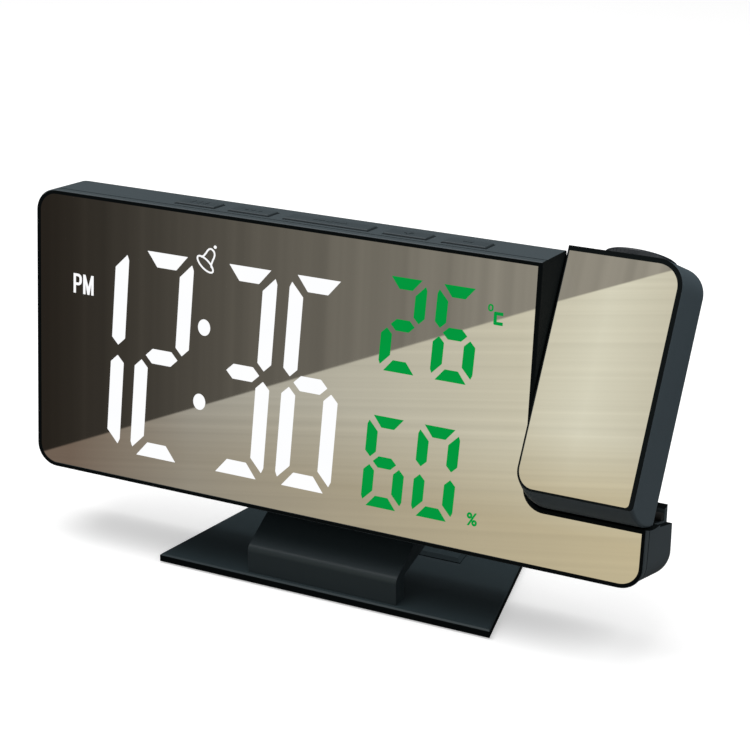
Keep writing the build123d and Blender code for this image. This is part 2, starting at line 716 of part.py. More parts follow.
with BuildPart() as coin_cell:
    with BuildSketch(case_plane.offset(-main_back - HOLDER_FLOOR)):
        with Locations(CELL_SPOT):
            Circle(CELL_RADIUS)
    extrude(amount=-CELL_THICKNESS)
    fillet(coin_cell.edges(), 0.3)
save(coin_cell.part, "coin_cell")

# Power socket: a round nose through the rear wall on a square body, with a centre pin.
socket_mouth = rear_plane.offset(-0.2)
SOCKET_LENGTH = 8.0
SOCKET_NOSE = 2.2
SOCKET_SIDE = 9
SOCKET_BACK = 1.2
with BuildPart() as power_socket:
    with BuildSketch(socket_mouth):
        with Locations(*at_rear([SOCKET_SPOT])):
            Circle(SOCKET_RADIUS)
    extrude(amount=-SOCKET_NOSE)
    with BuildSketch(socket_mouth.offset(-SOCKET_NOSE)):
        with Locations(*at_rear([SOCKET_SPOT])):
            Rectangle(SOCKET_SIDE, SOCKET_SIDE)
    extrude(amount=SOCKET_NOSE - SOCKET_LENGTH)
    with BuildSketch(socket_mouth):
        with Locations(*at_rear([SOCKET_SPOT])):
            Circle(SOCKET_BORE)
            Circle(SOCKET_PIN, mode=Mode.SUBTRACT)
    extrude(amount=SOCKET_BACK - SOCKET_LENGTH, mode=Mode.SUBTRACT)
save(power_socket.part, "power_socket")

SENSOR_BOARD = (9, 11)
SENSOR_BOARD_THICKNESS = 1.2
SENSOR_SIDE = 5
SENSOR_HEIGHT = 0.8
sensor_plane = rear_plane.offset(-WALL - 1.0)
with BuildPart() as climate_sensor:
    with BuildSketch(sensor_plane):
        with Locations(*at_rear([SENSOR_SPOT])):
            Rectangle(*SENSOR_BOARD)
    extrude(amount=-SENSOR_BOARD_THICKNESS)
    with BuildSketch(sensor_plane):
        with Locations(*at_rear([SENSOR_SPOT])):
            Rectangle(SENSOR_SIDE, SENSOR_SIDE)
    extrude(amount=SENSOR_HEIGHT)
save(climate_sensor.part, "climate_sensor")

# Snap-in battery door with three grip ribs.
RIB_PITCH = 1.6
RIB_SIZE = (9, 0.7)
RIB_HEIGHT = 0.4
RIB_DROP = 5
with BuildPart() as battery_door:
    with BuildSketch(rear_plane):
        with Locations((-DOOR_X, DOOR_BOTTOM + DOOR_HEIGHT / 2)):
            Rectangle(DOOR_WIDTH, DOOR_HEIGHT)
    extrude(amount=-DOOR_THICKNESS)
    with BuildSketch(rear_plane):
        with Locations((-DOOR_X, DOOR_BOTTOM + DOOR_HEIGHT - RIB_DROP)):
            with GridLocations(0, RIB_PITCH, 1, 3):
                Rectangle(*RIB_SIZE)
    extrude(amount=RIB_HEIGHT)
save(battery_door.part, "battery_door")

# ---------------------------------------------------------------- buttons
BUTTON_BOARD_TOP = -6.0
BUTTON_BOARD_THICKNESS = 1.2
BUTTON_BOARD_DEPTH = 8.6
SWITCH_BODY = 0.9
SWITCH_SIDE = 4.5
PLUNGER_RADIUS = 1.0
PLUNGER = 0.3
FLANGE_TOP = -2.3
FLANGE_THICKNESS = 1.0
STEM_RADIUS = 1.4
STEM_END = -4.1
SIGN_RISE = 0.15
SIGN_STROKE = 0.7
SIGN_LENGTH = 2.6
button_names = ("mode_button", "alarm_button", "snooze_button", "up_button", "down_button")


def button_sign(name):
    """Raised plain sign on a button: bars, a dot row, a long bar, plus or minus."""
    if name == "mode_button":
        with GridLocations(3 * SIGN_STROKE, 0, 3, 1):
            Rectangle(SIGN_STROKE, SIGN_LENGTH)
    elif name == "alarm_button":
        with GridLocations(3 * SIGN_STROKE, 0, 3, 1):
            Circle(0.8 * SIGN_STROKE)
    elif name == "snooze_button":
        with GridLocations(2.5 * SIGN_LENGTH, 0, 2, 1):
            Rectangle(1.3 * SIGN_LENGTH, SIGN_STROKE)
        Circle(1.4 * SIGN_STROKE)
    else:
        Rectangle(SIGN_LENGTH, SIGN_STROKE)
        if name == "up_button":
            Rectangle(SIGN_STROKE, SIGN_LENGTH)


for name, spot, size in zip(button_names, button_spots, button_sizes):
    with BuildPart() as button:
        cap_size = (size - 2 * BUTTON_GAP, BUTTON_DEPTH - 2 * BUTTON_GAP)
        with BuildSketch(top_plane(FLANGE_TOP)):
            with Locations((spot, BUTTON_CENTRE)):
                Rectangle(*cap_size)
        extrude(amount=BUTTON_PROUD - FLANGE_TOP)
        fillet(button.faces().sort_by(Axis((0, 0, 0), up_dir))[-1].edges(), 0.3)
        with BuildSketch(top_plane(FLANGE_TOP)):
            with Locations((spot, BUTTON_CENTRE)):
                Rectangle(size + 2 * FLANGE, BUTTON_DEPTH + 1)
        extrude(amount=-FLANGE_THICKNESS)
        with BuildSketch(top_plane(FLANGE_TOP - FLANGE_THICKNESS)):
            with Locations((spot, BUTTON_CENTRE)):
                Circle(STEM_RADIUS)
        extrude(amount=STEM_END - FLANGE_TOP + FLANGE_THICKNESS)
        with BuildSketch(top_plane(BUTTON_PROUD)):
            with Locations((spot, BUTTON_CENTRE)):
                button_sign(name)
        extrude(amount=SIGN_RISE)
    save(button.part, name)

with BuildPart() as button_board:
    with BuildSketch(top_plane(BUTTON_BOARD_TOP)):
        row_middle = (button_spots[0] + button_spots[-1]) / 2
        with Locations((row_middle, BUTTON_CENTRE)):
            Rectangle(button_spots[-1] - button_spots[0] + 2 * SWITCH_SIDE, BUTTON_BOARD_DEPTH)
    extrude(amount=-BUTTON_BOARD_THICKNESS)
save(button_board.part, "button_board")

with BuildPart() as tact_switches:
    with BuildSketch(top_plane(BUTTON_BOARD_TOP)):
        with Locations(*[(spot, BUTTON_CENTRE) for spot in button_spots]):
            Rectangle(SWITCH_SIDE, SWITCH_SIDE)
    extrude(amount=SWITCH_BODY)
    with BuildSketch(top_plane(BUTTON_BOARD_TOP + SWITCH_BODY)):
        with Locations(*[(spot, BUTTON_CENTRE) for spot in button_spots]):
            Circle(PLUNGER_RADIUS)
    extrude(amount=PLUNGER)
save(tact_switches.part, "tact_switches")

# ---------------------------------------------------------------- hinge
BUSH_FLANGE = 1.2
PLAY = 0.1
with BuildPart() as hinge_bush:
    with BuildSketch(hinge_plane(NOTCH_X)):
        Circle(BUSH_RADIUS)
    extrude(amount=-WALL)
    with BuildSketch(hinge_plane(NOTCH_X - WALL)):
        Circle(BUSH_FLANGE_RADIUS)
    extrude(amount=-BUSH_FLANGE)
    with BuildSketch(hinge_plane(NOTCH_X)):
        Circle(AXLE_RADIUS + RUNNING_FIT)
    extrude(amount=-2 * WALL, mode=Mode.SUBTRACT)
save(hinge_bush.part, "hinge_bush")

WASHER_THICKNESS = 0.8
washer_start = NOTCH_X - WALL - BUSH_FLANGE - PLAY
with BuildPart() as friction_washer:
    with BuildSketch(hinge_plane(washer_start)):
        Circle(BUSH_FLANGE_RADIUS - HEAD_CLEAR)
        Circle(AXLE_RADIUS + RUNNING_FIT, mode=Mode.SUBTRACT)
    extrude(amount=-WASHER_THICKNESS)
save(friction_washer.part, "friction_washer")

NUT_LENGTH = 2.4
NUT_RADIUS = 5.4
nut_start = washer_start - WASHER_THICKNESS - PLAY
with BuildPart() as hinge_nut:
    with BuildSketch(hinge_plane(nut_start)):
        RegularPolygon(NUT_RADIUS, 6)
        Circle(AXLE_RADIUS + SNUG_FIT, mode=Mode.SUBTRACT)
    extrude(amount=-NUT_LENGTH)
save(hinge_nut.part, "hinge_nut")

AXLE_FLANGE_RADIUS = 6.2
AXLE_FLANGE = 1.5
axle_end = ARM_LEFT + ARM_WALL + AXLE_FLANGE
with BuildPart() as hinge_axle:
    with BuildSketch(hinge_plane(AXLE_START)):
        Circle(AXLE_RADIUS)
    extrude(amount=ARM_LEFT + ARM_WALL - AXLE_START)
    with BuildSketch(hinge_plane(ARM_LEFT + ARM_WALL)):
        Circle(AXLE_FLANGE_RADIUS)
    extrude(amount=AXLE_FLANGE)
    with BuildSketch(hinge_plane(AXLE_START)):
        Circle(AXLE_BORE)
    extrude(amount=axle_end - AXLE_START, mode=Mode.SUBTRACT)
save(hinge_axle.part, "hinge_axle")

CABLE_RADIUS = 1.5
CABLE_OVERHANG = 1.4
with BuildPart() as hinge_cable:
    with BuildSketch(hinge_plane(AXLE_START - CABLE_OVERHANG)):
        Circle(CABLE_RADIUS)
    extrude(amount=axle_end - AXLE_START + 2 * CABLE_OVERHANG)
save(hinge_cable.part, "hinge_cable")


# ---------------------------------------------------------------- arm
def arm_form(left, right, top, top_radius, end_radius, left_radius, right_radius, front, back, back_round):
    """The arm's form: a flat box whose lower end is rounded about the hinge axis.

    left, right and top bound the front outline, end_radius is the rounded end's radius,
    left_radius and right_radius round its corners; front and back are measured from the
    arm's front face towards its back, and back_round softens the rear edges. The top
    climbs towards the back.
    """
    with BuildPart() as end:
        with BuildSketch(hinge_plane(left)):
            Circle(end_radius)
        extrude(amount=right - left)
        fillet(end.edges().sort_by(Axis.X)[0], left_radius)
        fillet(end.edges().sort_by(Axis.X)[-1], right_radius)
        with BuildSketch(arm_plane.offset(PIVOT_DEPTH + WALL)):
            with Locations(((left + right) / 2, (top + ARM_TOP_RISE) / 2)):
                Rectangle(right - left, top + ARM_TOP_RISE)
        extrude(amount=-ARM_THICKNESS - 2 * WALL)
    climb = ARM_TOP_RISE / ARM_THICKNESS
    middle = (front + back) / 2
    top_middle = pivot + arm_up * (top + climb * middle) + arm_front * (PIVOT_DEPTH - middle)
    with BuildPart() as form:
        with BuildSketch(arm_side(left)):
            Polygon(
                (front - PIVOT_DEPTH, -end_radius), (back - PIVOT_DEPTH, -end_radius),
                (back - PIVOT_DEPTH, top + climb * back), (front - PIVOT_DEPTH, top + climb * front),
                align=None,
            )
        extrude(amount=right - left)
        fillet(form.edges().sort_by_distance(top_middle + Vector(right, 0, 0))[0], top_radius)
        if back_round:
            fillet(form.faces().sort_by(Axis((0, 0, 0), arm_front))[0].edges(), back_round)
        add(end.part, mode=Mode.INTERSECT)
    return form.part


arm_outer = arm_form(
    ARM_LEFT, ARM_RIGHT, ARM_TOP, ARM_TOP_RADIUS, ARM_END_RADIUS, NOTCH_CORNER_RADIUS + ARM_GAP, 1.0,
    0, ARM_THICKNESS, ARM_BACK_ROUND,
)
panel_bottom = sqrt(ARM_END_RADIUS**2 - PIVOT_DEPTH**2) - ARM_RIM_BOTTOM
panel_end_radius = sqrt(panel_bottom**2 + PIVOT_DEPTH**2)
panel_seat = arm_form(
    ARM_LEFT + ARM_RIM_LEFT, ARM_RIGHT - ARM_RIM, ARM_TOP - ARM_RIM, ARM_TOP_RADIUS - ARM_RIM,
    panel_end_radius, NOTCH_CORNER_RADIUS, 1.0, 0, PANEL_RECESS + PANEL_THICKNESS, 0,
)
arm_panel = arm_form(
    ARM_LEFT + ARM_RIM_LEFT + SNUG_FIT, ARM_RIGHT - ARM_RIM - SNUG_FIT, ARM_TOP - ARM_RIM - SNUG_FIT,
    ARM_TOP_RADIUS - ARM_RIM - SNUG_FIT, panel_end_radius - SNUG_FIT, NOTCH_CORNER_RADIUS, 1.0,
    PANEL_RECESS, PANEL_RECESS + PANEL_THICKNESS, 0,
)
arm_hollow = arm_form(
    ARM_LEFT + ARM_WALL, ARM_RIGHT - ARM_WALL, ARM_TOP - ARM_WALL, ARM_TOP_RADIUS - ARM_WALL,
    ARM_END_RADIUS - 2.4, NOTCH_CORNER_RADIUS - ARM_WALL, 1.0, PANEL_RECESS, ARM_THICKNESS - ARM_WALL, 0,
)

CHASSIS_WIDTH = 18.0
CHASSIS_DEPTH = 15.6
CHASSIS_TOP = 30.0
CHASSIS_BOTTOM = -3.0
ARM_SCREW_UPS = (4.0, 25.0)
ARM_SCREW_RADIUS = 1.1
ARM_SCREW_HEAD = 2.1
ARM_HEAD_SINK = 1.2
ARM_HEAD_HEIGHT = 1.0
ARM_SCREW_LENGTH = 3.0

arm_back_plane = place(
    pivot + arm_front * (PIVOT_DEPTH - ARM_THICKNESS), arm_front * -1, across=(-1, 0, 0)
)

# The level seat of the focus ring, let into the climbing top and backed by a boss inside.
with BuildPart() as ring_boss:
    with BuildSketch(lens_plane(ARM_TOP - ARM_WALL)):
        Circle(RING_POCKET_RADIUS + 1.2)
    extrude(amount=ARM_WALL + ARM_TOP_RISE)
    add(arm_outer, mode=Mode.INTERSECT)

with BuildPart() as arm_shell:
    add(arm_outer)
    add(arm_hollow, mode=Mode.SUBTRACT)
    add(ring_boss.part)
    add(panel_seat, mode=Mode.SUBTRACT)
    with BuildSketch(lens_plane(ARM_TOP + PLAY)):
        Circle(RING_POCKET_RADIUS)
    extrude(amount=2 * ARM_TOP_RISE, mode=Mode.SUBTRACT)
    with BuildSketch(hinge_plane(ARM_LEFT - 1)):
        Circle(AXLE_RADIUS + SNUG_FIT)
    extrude(amount=ARM_WALL + 1.5, mode=Mode.SUBTRACT)
    with BuildSketch(lens_plane(ARM_TOP - 2 * ARM_WALL)):
        Circle(RING_NECK_RADIUS + RUNNING_FIT)
    extrude(amount=3 * ARM_WALL, mode=Mode.SUBTRACT)
    with BuildSketch(arm_back_plane):
        with Locations(*[(-LENS_X, up) for up in ARM_SCREW_UPS]):
            Circle(ARM_SCREW_RADIUS + SNUG_FIT)
    extrude(amount=-2 * ARM_WALL, mode=Mode.SUBTRACT)
    with BuildSketch(arm_back_plane):
        with Locations(*[(-LENS_X, up) for up in ARM_SCREW_UPS]):
            Circle(ARM_SCREW_HEAD + HEAD_CLEAR)
    extrude(amount=-ARM_HEAD_SINK, mode=Mode.SUBTRACT)
save(arm_shell.part, "arm_shell")

save(arm_panel, "arm_mirror")

# Chassis: a square tube that carries the optics, with a round bore at its upper end.
BORE_START = 17.0
CHANNEL = 13.0
with BuildPart() as arm_chassis:
    with BuildSketch(lens_plane(CHASSIS_BOTTOM)):
        Rectangle(CHASSIS_WIDTH, CHASSIS_DEPTH)
    extrude(amount=CHASSIS_TOP - CHASSIS_BOTTOM)
    with BuildSketch(arm_back_plane.offset(-ARM_WALL)):
        with Locations(*[(-LENS_X, up) for up in ARM_SCREW_UPS]):
            Circle(2 * ARM_SCREW_RADIUS)
    extrude(amount=-3)
    with BuildSketch(lens_plane(BORE_START)):
        Circle(BARREL_RADIUS + RUNNING_FIT)
    extrude(amount=CHASSIS_TOP - BORE_START, mode=Mode.SUBTRACT)
    with BuildSketch(lens_plane(CHASSIS_BOTTOM)):
        Rectangle(CHANNEL, CHANNEL)
    extrude(amount=BORE_START - CHASSIS_BOTTOM, mode=Mode.SUBTRACT)
    with BuildSketch(arm_back_plane):
        with Locations(*[(-LENS_X, up) for up in ARM_SCREW_UPS]):
            Circle(ARM_SCREW_RADIUS + SNUG_FIT)
    extrude(amount=-ARM_WALL - 2.6, mode=Mode.SUBTRACT)
save(arm_chassis.part, "arm_chassis")

with BuildPart() as arm_screws:
    for up in ARM_SCREW_UPS:
        under_head = pivot + Vector(LENS_X, 0, 0) + arm_up * up
        under_head = under_head + arm_front * (PIVOT_DEPTH - ARM_THICKNESS + ARM_HEAD_SINK)
        seat = place(under_head, arm_front * -1)
        add(screw(seat, ARM_SCREW_HEAD, ARM_HEAD_HEIGHT, ARM_SCREW_RADIUS, ARM_SCREW_LENGTH))
save(arm_screws.part, "arm_screws")

LAMP_BOARD_THICKNESS = 1.2
LAMP_RADIUS = 2.5
LAMP_FLANGE = 0.4
LAMP_HEIGHT = 5.5
with BuildPart() as lamp_board:
    with BuildSketch(lens_plane(CHASSIS_BOTTOM - LAMP_BOARD_THICKNESS)):
        Rectangle(CHASSIS_WIDTH, CHASSIS_DEPTH)
    extrude(amount=LAMP_BOARD_THICKNESS)
save(lamp_board.part, "lamp_board")

with BuildPart() as projector_lamp:
    with BuildSketch(lens_plane(CHASSIS_BOTTOM)):
        Circle(LAMP_RADIUS + LAMP_FLANGE)
    extrude(amount=2 * LAMP_FLANGE)
    with BuildSketch(lens_plane(CHASSIS_BOTTOM)):
        Circle(LAMP_RADIUS)
    extrude(amount=LAMP_HEIGHT)
    fillet(projector_lamp.faces().sort_by(Axis((0, 0, 0), arm_up))[-1].edges(), LAMP_RADIUS * 0.9)
save(projector_lamp.part, "projector_lamp")

CONDENSER_UP = 5.0
CONDENSER_THICKNESS = 2.6
with BuildPart() as condenser_lens:
    with BuildSketch(lens_plane(CONDENSER_UP)):
        Circle(CHANNEL / 2 - RUNNING_FIT)
    extrude(amount=CONDENSER_THICKNESS)
    fillet(condenser_lens.faces().sort_by(Axis((0, 0, 0), arm_up))[-1].edges(), CONDENSER_THICKNESS * 0.7)
save(condenser_lens.part, "condenser_lens")

IMAGE_UP = 11.0
IMAGE_THICKNESS = 1.4
with BuildPart() as image_cell:
    with BuildSketch(lens_plane(IMAGE_UP)):
        Rectangle(CHANNEL - 2 * RUNNING_FIT, CHANNEL - 2 * RUNNING_FIT)
    extrude(amount=IMAGE_THICKNESS)
save(image_cell.part, "image_cell")

# Lens barrel: slides in the chassis bore when the focus ring turns.
BARREL_BOTTOM = 20.0
BARREL_TOP = 36.4
BARREL_WALL = 1.2
with BuildPart() as lens_barrel:
    with BuildSketch(lens_plane(BARREL_BOTTOM)):
        Circle(BARREL_RADIUS)
        Circle(BARREL_RADIUS - BARREL_WALL, mode=Mode.SUBTRACT)
    extrude(amount=BARREL_TOP - BARREL_BOTTOM)
save(lens_barrel.part, "lens_barrel")

LENS_SINK = 4.0
LENS_THICKNESS = 3.2
with BuildPart() as projection_lens:
    with BuildSketch(lens_plane(BARREL_TOP - LENS_SINK)):
        Circle(BARREL_RADIUS - BARREL_WALL - SNUG_FIT)
    extrude(amount=LENS_THICKNESS)
    fillet(projection_lens.faces().sort_by(Axis((0, 0, 0), arm_up))[-1].edges(), LENS_THICKNESS * 0.7)
save(projection_lens.part, "projection_lens")

# Focus ring: a low collar on the arm's top, held by a flange under the top wall.
RING_MOUTH = 6.7
RING_LIFT = 0.2
RING_FLANGE = 0.4
RING_FLANGE_THICKNESS = 1.0
with BuildPart() as focus_ring:
    with BuildSketch(lens_plane(ARM_TOP + RING_LIFT)):
        Circle(RING_RADIUS)
    extrude(amount=RING_HEIGHT)
    fillet(focus_ring.faces().sort_by(Axis((0, 0, 0), arm_up))[-1].edges(), 0.7)
    with BuildSketch(lens_plane(ARM_TOP - ARM_WALL - PLAY)):
        Circle(RING_NECK_RADIUS)
    extrude(amount=ARM_WALL + RING_LIFT + PLAY)
    with BuildSketch(lens_plane(ARM_TOP - ARM_WALL - PLAY)):
        Circle(RING_NECK_RADIUS + RING_FLANGE)
    extrude(amount=-RING_FLANGE_THICKNESS)
    with BuildSketch(lens_plane(CHASSIS_TOP)):
        Circle(RING_MOUTH)
    extrude(amount=3 * RING_RADIUS, mode=Mode.SUBTRACT)
    ring_top = focus_ring.faces().sort_by(Axis((0, 0, 0), arm_up))[-1]
    chamfer(ring_top.inner_wires()[0].edges(), 0.6)
save(focus_ring.part, "focus_ring")

# ---------------------------------------------------------------- stand
PLATE_FRONT_Y = -PLATE_DEPTH / 2
plate_top = PAD_THICKNESS + PLATE_THICKNESS
KNEE_FRONT_Y = CASE_FRONT_Y + 0.9
BRACKET_SCREW_X = 15.0
BRACKET_SCREW_RADIUS = 1.4
PLATE_SCREW_HEAD = 2.6
knee_middle = KNEE_FRONT_Y + KNEE_DEPTH / 2
HEEL_Y = 14.5
HEEL_DEPTH = 14.0
HEEL_ANGLE = 85
BRACKET_SCREWS = ((-BRACKET_SCREW_X, knee_middle), (BRACKET_SCREW_X, knee_middle))
PLATE_HEAD_SINK = 1.2
PLATE_HEAD_HEIGHT = 1.0
PLATE_SCREW_LENGTH = 5.2


def plate_outline(inset):
    """The plate's footprint, wider at the front, moved inwards by an even inset."""
    with BuildSketch() as outline:
        Polygon(
            (-PLATE_HALF_FRONT, PLATE_FRONT_Y), (PLATE_HALF_FRONT, PLATE_FRONT_Y),
            (PLATE_HALF_REAR, -PLATE_FRONT_Y), (-PLATE_HALF_REAR, -PLATE_FRONT_Y), align=None,
        )
        if inset:
            offset(amount=-inset, kind=Kind.INTERSECTION, mode=Mode.REPLACE)
    return outline.sketch


with BuildPart() as base_plate:
    with BuildSketch(Plane.XY.offset(PAD_THICKNESS)):
        add(plate_outline(0))
    extrude(amount=PLATE_THICKNESS)
    chamfer(base_plate.faces().sort_by(Axis.Z)[-1].edges(), EDGE_ROUND)
    with BuildSketch(Plane.XY.offset(plate_top)):
        with Locations((0, HEEL_Y)):
            Trapezoid(2 * HEEL_HALF, HEEL_DEPTH, HEEL_ANGLE)
    extrude(amount=HEEL_RISE)
    chamfer(base_plate.faces().sort_by(Axis.Z)[-1].edges(), HEEL_RISE * 0.8)
    with BuildSketch(Plane.XY.offset(PAD_THICKNESS)):
        with Locations(*BRACKET_SCREWS):
            Circle(BRACKET_SCREW_RADIUS + SCREW_PASS)
    extrude(amount=PLATE_THICKNESS, mode=Mode.SUBTRACT)
    with BuildSketch(Plane.XY.offset(PAD_THICKNESS)):
        with Locations(*BRACKET_SCREWS):
            Circle(PLATE_SCREW_HEAD + HEAD_CLEAR)
    extrude(amount=PLATE_HEAD_SINK, mode=Mode.SUBTRACT)
save(base_plate.part, "base_plate")

# Non-slip pad under the plate, which also hides the screw heads.
with BuildPart() as rubber_pad:
    with BuildSketch(Plane.XY):
        add(plate_outline(PAD_INSET))
    extrude(amount=PAD_THICKNESS)
save(rubber_pad.part, "rubber_pad")

# Bracket: an upright knee, a sloping tongue and a lug that the case is screwed to.
KNEE_TOP = CASE_BOTTOM_Z - 12.9
TONGUE_SLOPE = 0.46
LUG_FRONT = 16.6
LUG_BACK = 22.6
LUG_THICKNESS = 3.2


def underside(depth):
    """The place on the case's sloping underside, this far behind the front face."""
    return case_point(0, -REAR_DROP * (depth - FRAME_DEPTH) / (REAR_REACH - FRAME_DEPTH), depth)


lug_front = underside(LUG_FRONT)
lug_back = underside(LUG_BACK)


def tongue_height(y, below):
    """Height of the tongue's sloping face at y, or of its underside."""
    return KNEE_TOP + (y - KNEE_FRONT_Y) * TONGUE_SLOPE - below


with BuildPart() as support_bracket:
    with BuildSketch(Plane.YZ.offset(-BRACKET_HALF)) as profile:
        Polygon(
            (KNEE_FRONT_Y, plate_top),
            (KNEE_FRONT_Y, KNEE_TOP),
            (lug_front.Y, lug_front.Z),
            (lug_back.Y, lug_back.Z),
            (lug_back.Y, lug_back.Z - LUG_THICKNESS),
            (KNEE_FRONT_Y + KNEE_DEPTH, tongue_height(KNEE_FRONT_Y + KNEE_DEPTH, BRACKET_THICKNESS)),
            (KNEE_FRONT_Y + KNEE_DEPTH, plate_top),
            align=None,
        )
        fillet(profile.vertices().sort_by_distance((KNEE_FRONT_Y, KNEE_TOP))[0], KNEE_RADIUS)
    extrude(amount=2 * BRACKET_HALF)
    with BuildSketch(Plane.XY.offset(plate_top)):
        with Locations(*BRACKET_SCREWS):
            Circle(BRACKET_SCREW_RADIUS + SNUG_FIT)
    extrude(amount=PLATE_SCREW_LENGTH - PLATE_THICKNESS + PLATE_HEAD_SINK + HEAD_CLEAR, mode=Mode.SUBTRACT)
    with BuildSketch(place(case_point(0, 0, 0), up_dir)):
        with Locations(*STAND_SCREWS):
            Circle(STAND_SCREW_RADIUS + SCREW_PASS)
    extrude(amount=-CASE_BOTTOM_Z, mode=Mode.SUBTRACT)
    with BuildSketch(place(case_point(0, STAND_SEAT, 0), up_dir)):
        with Locations(*STAND_SCREWS):
            Circle(PLATE_SCREW_HEAD + HEAD_CLEAR)
    extrude(amount=-CASE_BOTTOM_Z, mode=Mode.SUBTRACT)
save(support_bracket.part, "support_bracket")

with BuildPart() as plate_screws:
    for x, y in BRACKET_SCREWS:
        head = place(Vector(x, y, PAD_THICKNESS + PLATE_HEAD_SINK), (0, 0, -1))
        add(screw(head, PLATE_SCREW_HEAD, PLATE_HEAD_HEIGHT, BRACKET_SCREW_RADIUS, PLATE_SCREW_LENGTH))
save(plate_screws.part, "plate_screws")

with BuildPart() as stand_screws:
    for x, depth in STAND_SCREWS:
        head = place(case_point(x, STAND_SEAT, depth), up_dir * -1)
        add(screw(head, PLATE_SCREW_HEAD, SCREW_HEAD_HEIGHT, STAND_SCREW_RADIUS, STAND_SCREW_LENGTH))
save(stand_screws.part, "stand_screws")
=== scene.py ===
"""Looks of the projection alarm clock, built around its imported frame.

Pieces are shaped in millimetres on the face that carries them, and then placed in the frame,
which is in metres with +Z up and the display facing -Y.
"""

import json
from math import cos, pi, radians, sin, tan

import bpy
from mathutils import Matrix, Vector


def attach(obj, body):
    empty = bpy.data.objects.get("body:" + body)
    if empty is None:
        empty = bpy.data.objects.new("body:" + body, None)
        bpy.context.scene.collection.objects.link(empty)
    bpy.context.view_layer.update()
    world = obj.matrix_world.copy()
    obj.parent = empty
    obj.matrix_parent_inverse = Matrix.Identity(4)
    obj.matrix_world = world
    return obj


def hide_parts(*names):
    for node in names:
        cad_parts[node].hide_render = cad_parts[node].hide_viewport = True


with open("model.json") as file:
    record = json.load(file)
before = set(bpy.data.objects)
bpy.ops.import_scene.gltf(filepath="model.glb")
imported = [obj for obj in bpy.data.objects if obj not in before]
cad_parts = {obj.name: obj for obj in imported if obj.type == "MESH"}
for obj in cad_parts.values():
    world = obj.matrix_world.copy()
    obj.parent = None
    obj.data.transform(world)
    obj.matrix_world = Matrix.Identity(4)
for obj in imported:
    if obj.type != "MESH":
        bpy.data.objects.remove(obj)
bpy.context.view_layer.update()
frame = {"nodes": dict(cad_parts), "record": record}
scene = bpy.context.scene
scene.view_settings.view_transform = "Standard"

# ---------------------------------------------------------------- camera
EYE = Vector((0.23374, -0.46421, 0.26389))
PITCH = radians(68.46)
HEADING = radians(26.2)
camera_data = bpy.data.cameras.new("camera")
camera_data.sensor_width = 36.0
camera_data.lens = 95.92
camera = bpy.data.objects.new("camera", camera_data)
camera.location = EYE
camera.rotation_euler = (PITCH, 0, HEADING)
scene.collection.objects.link(camera)
scene.camera = camera

# ---------------------------------------------------------------- places on the clock
MM = 0.001
MICRON = 0.000001
FRONT_LEAN = radians(5.65)
ARM_TILT = radians(32.0)
CASE_WIDTH = 187.0
MIRROR_SINK = 0.15
JOINT_DEPTH = 2.55
PIVOT_UP = 46.6
PIVOT_DEPTH = 11.5
LENS_X = 77.4
LENS_DEPTH = 10.5
ARM_TOP = 35.9
NOTCH_LEFT = 59.5
NOTCH_WALL_REACH = 75.0
NOTCH_FLOOR_TOP = 62.0
across = Vector((1, 0, 0))
front_dir = Vector((0, -cos(FRONT_LEAN), sin(FRONT_LEAN)))
up_dir = Vector((0, sin(FRONT_LEAN), cos(FRONT_LEAN)))
arm_up = Vector((0, sin(ARM_TILT), cos(ARM_TILT)))
arm_front = Vector((0, -cos(ARM_TILT), sin(ARM_TILT)))
front_foot = Vector((0, -24.5, 23.5))
pivot = front_foot + up_dir * PIVOT_UP - front_dir * PIVOT_DEPTH
arm_face = pivot + arm_front * PIVOT_DEPTH


def facing(outward):
    """The turn that points +Z outwards and keeps +X across the clock."""
    return Matrix((across, outward.cross(across), outward)).transposed().to_4x4()


def place(origin, outward):
    """The matrix that carries a piece shaped in millimetres, facing its own +Z, onto the clock."""
    return Matrix.Translation(origin * MM) @ facing(outward) @ Matrix.Scale(MM, 4)


on_front = place(front_foot, front_dir)
on_lens = place(pivot + across * LENS_X + arm_front * (PIVOT_DEPTH - LENS_DEPTH), arm_up)


# ---------------------------------------------------------------- modelling by hand
def start(kind, **how):
    """Add a primitive with nothing else selected, all of it selected in edit mode."""
    bpy.ops.object.select_all(action="DESELECT")
    getattr(bpy.ops.mesh, f"primitive_{kind}_add")(**how)
    bpy.ops.object.mode_set(mode="EDIT")
    bpy.ops.mesh.select_mode(type="VERT")
    bpy.ops.mesh.select_all(action="SELECT")
    return bpy.context.object


def choose_faces(piece, wanted):
    """Select only the faces whose middle and normal pass a test."""
    bpy.ops.mesh.select_mode(type="FACE")
    bpy.ops.mesh.select_all(action="DESELECT")
    bpy.ops.object.mode_set(mode="OBJECT")
    for face in piece.data.polygons:
        face.select = wanted(face.center, face.normal)
    bpy.ops.object.mode_set(mode="EDIT")


def choose_edges(piece, wanted):
    """Select only the edges whose two ends pass a test."""
    bpy.ops.mesh.select_mode(type="EDGE")
    bpy.ops.mesh.select_all(action="DESELECT")
    bpy.ops.object.mode_set(mode="OBJECT")
    points = piece.data.vertices
    for edge in piece.data.edges:
        edge.select = wanted(*[points[v].co for v in edge.vertices])
    bpy.ops.object.mode_set(mode="EDIT")


def lift(amount):
    """Extrude what is selected along +Z."""
    bpy.ops.mesh.extrude_region_move(TRANSFORM_OT_translate={"value": (0, 0, amount)})


def grow(wide, high, centre=(0, 0, 0)):
    """Resize what is selected about a point."""
    bpy.ops.transform.resize(value=(wide, high, 1), center_override=centre)


def clean(piece):
    """Merge doubled points and turn every face outwards."""
    bpy.ops.mesh.select_all(action="SELECT")
    bpy.ops.mesh.remove_doubles(threshold=0.0005)
    bpy.ops.mesh.normals_make_consistent(inside=False)
    bpy.ops.object.mode_set(mode="OBJECT")
    return piece


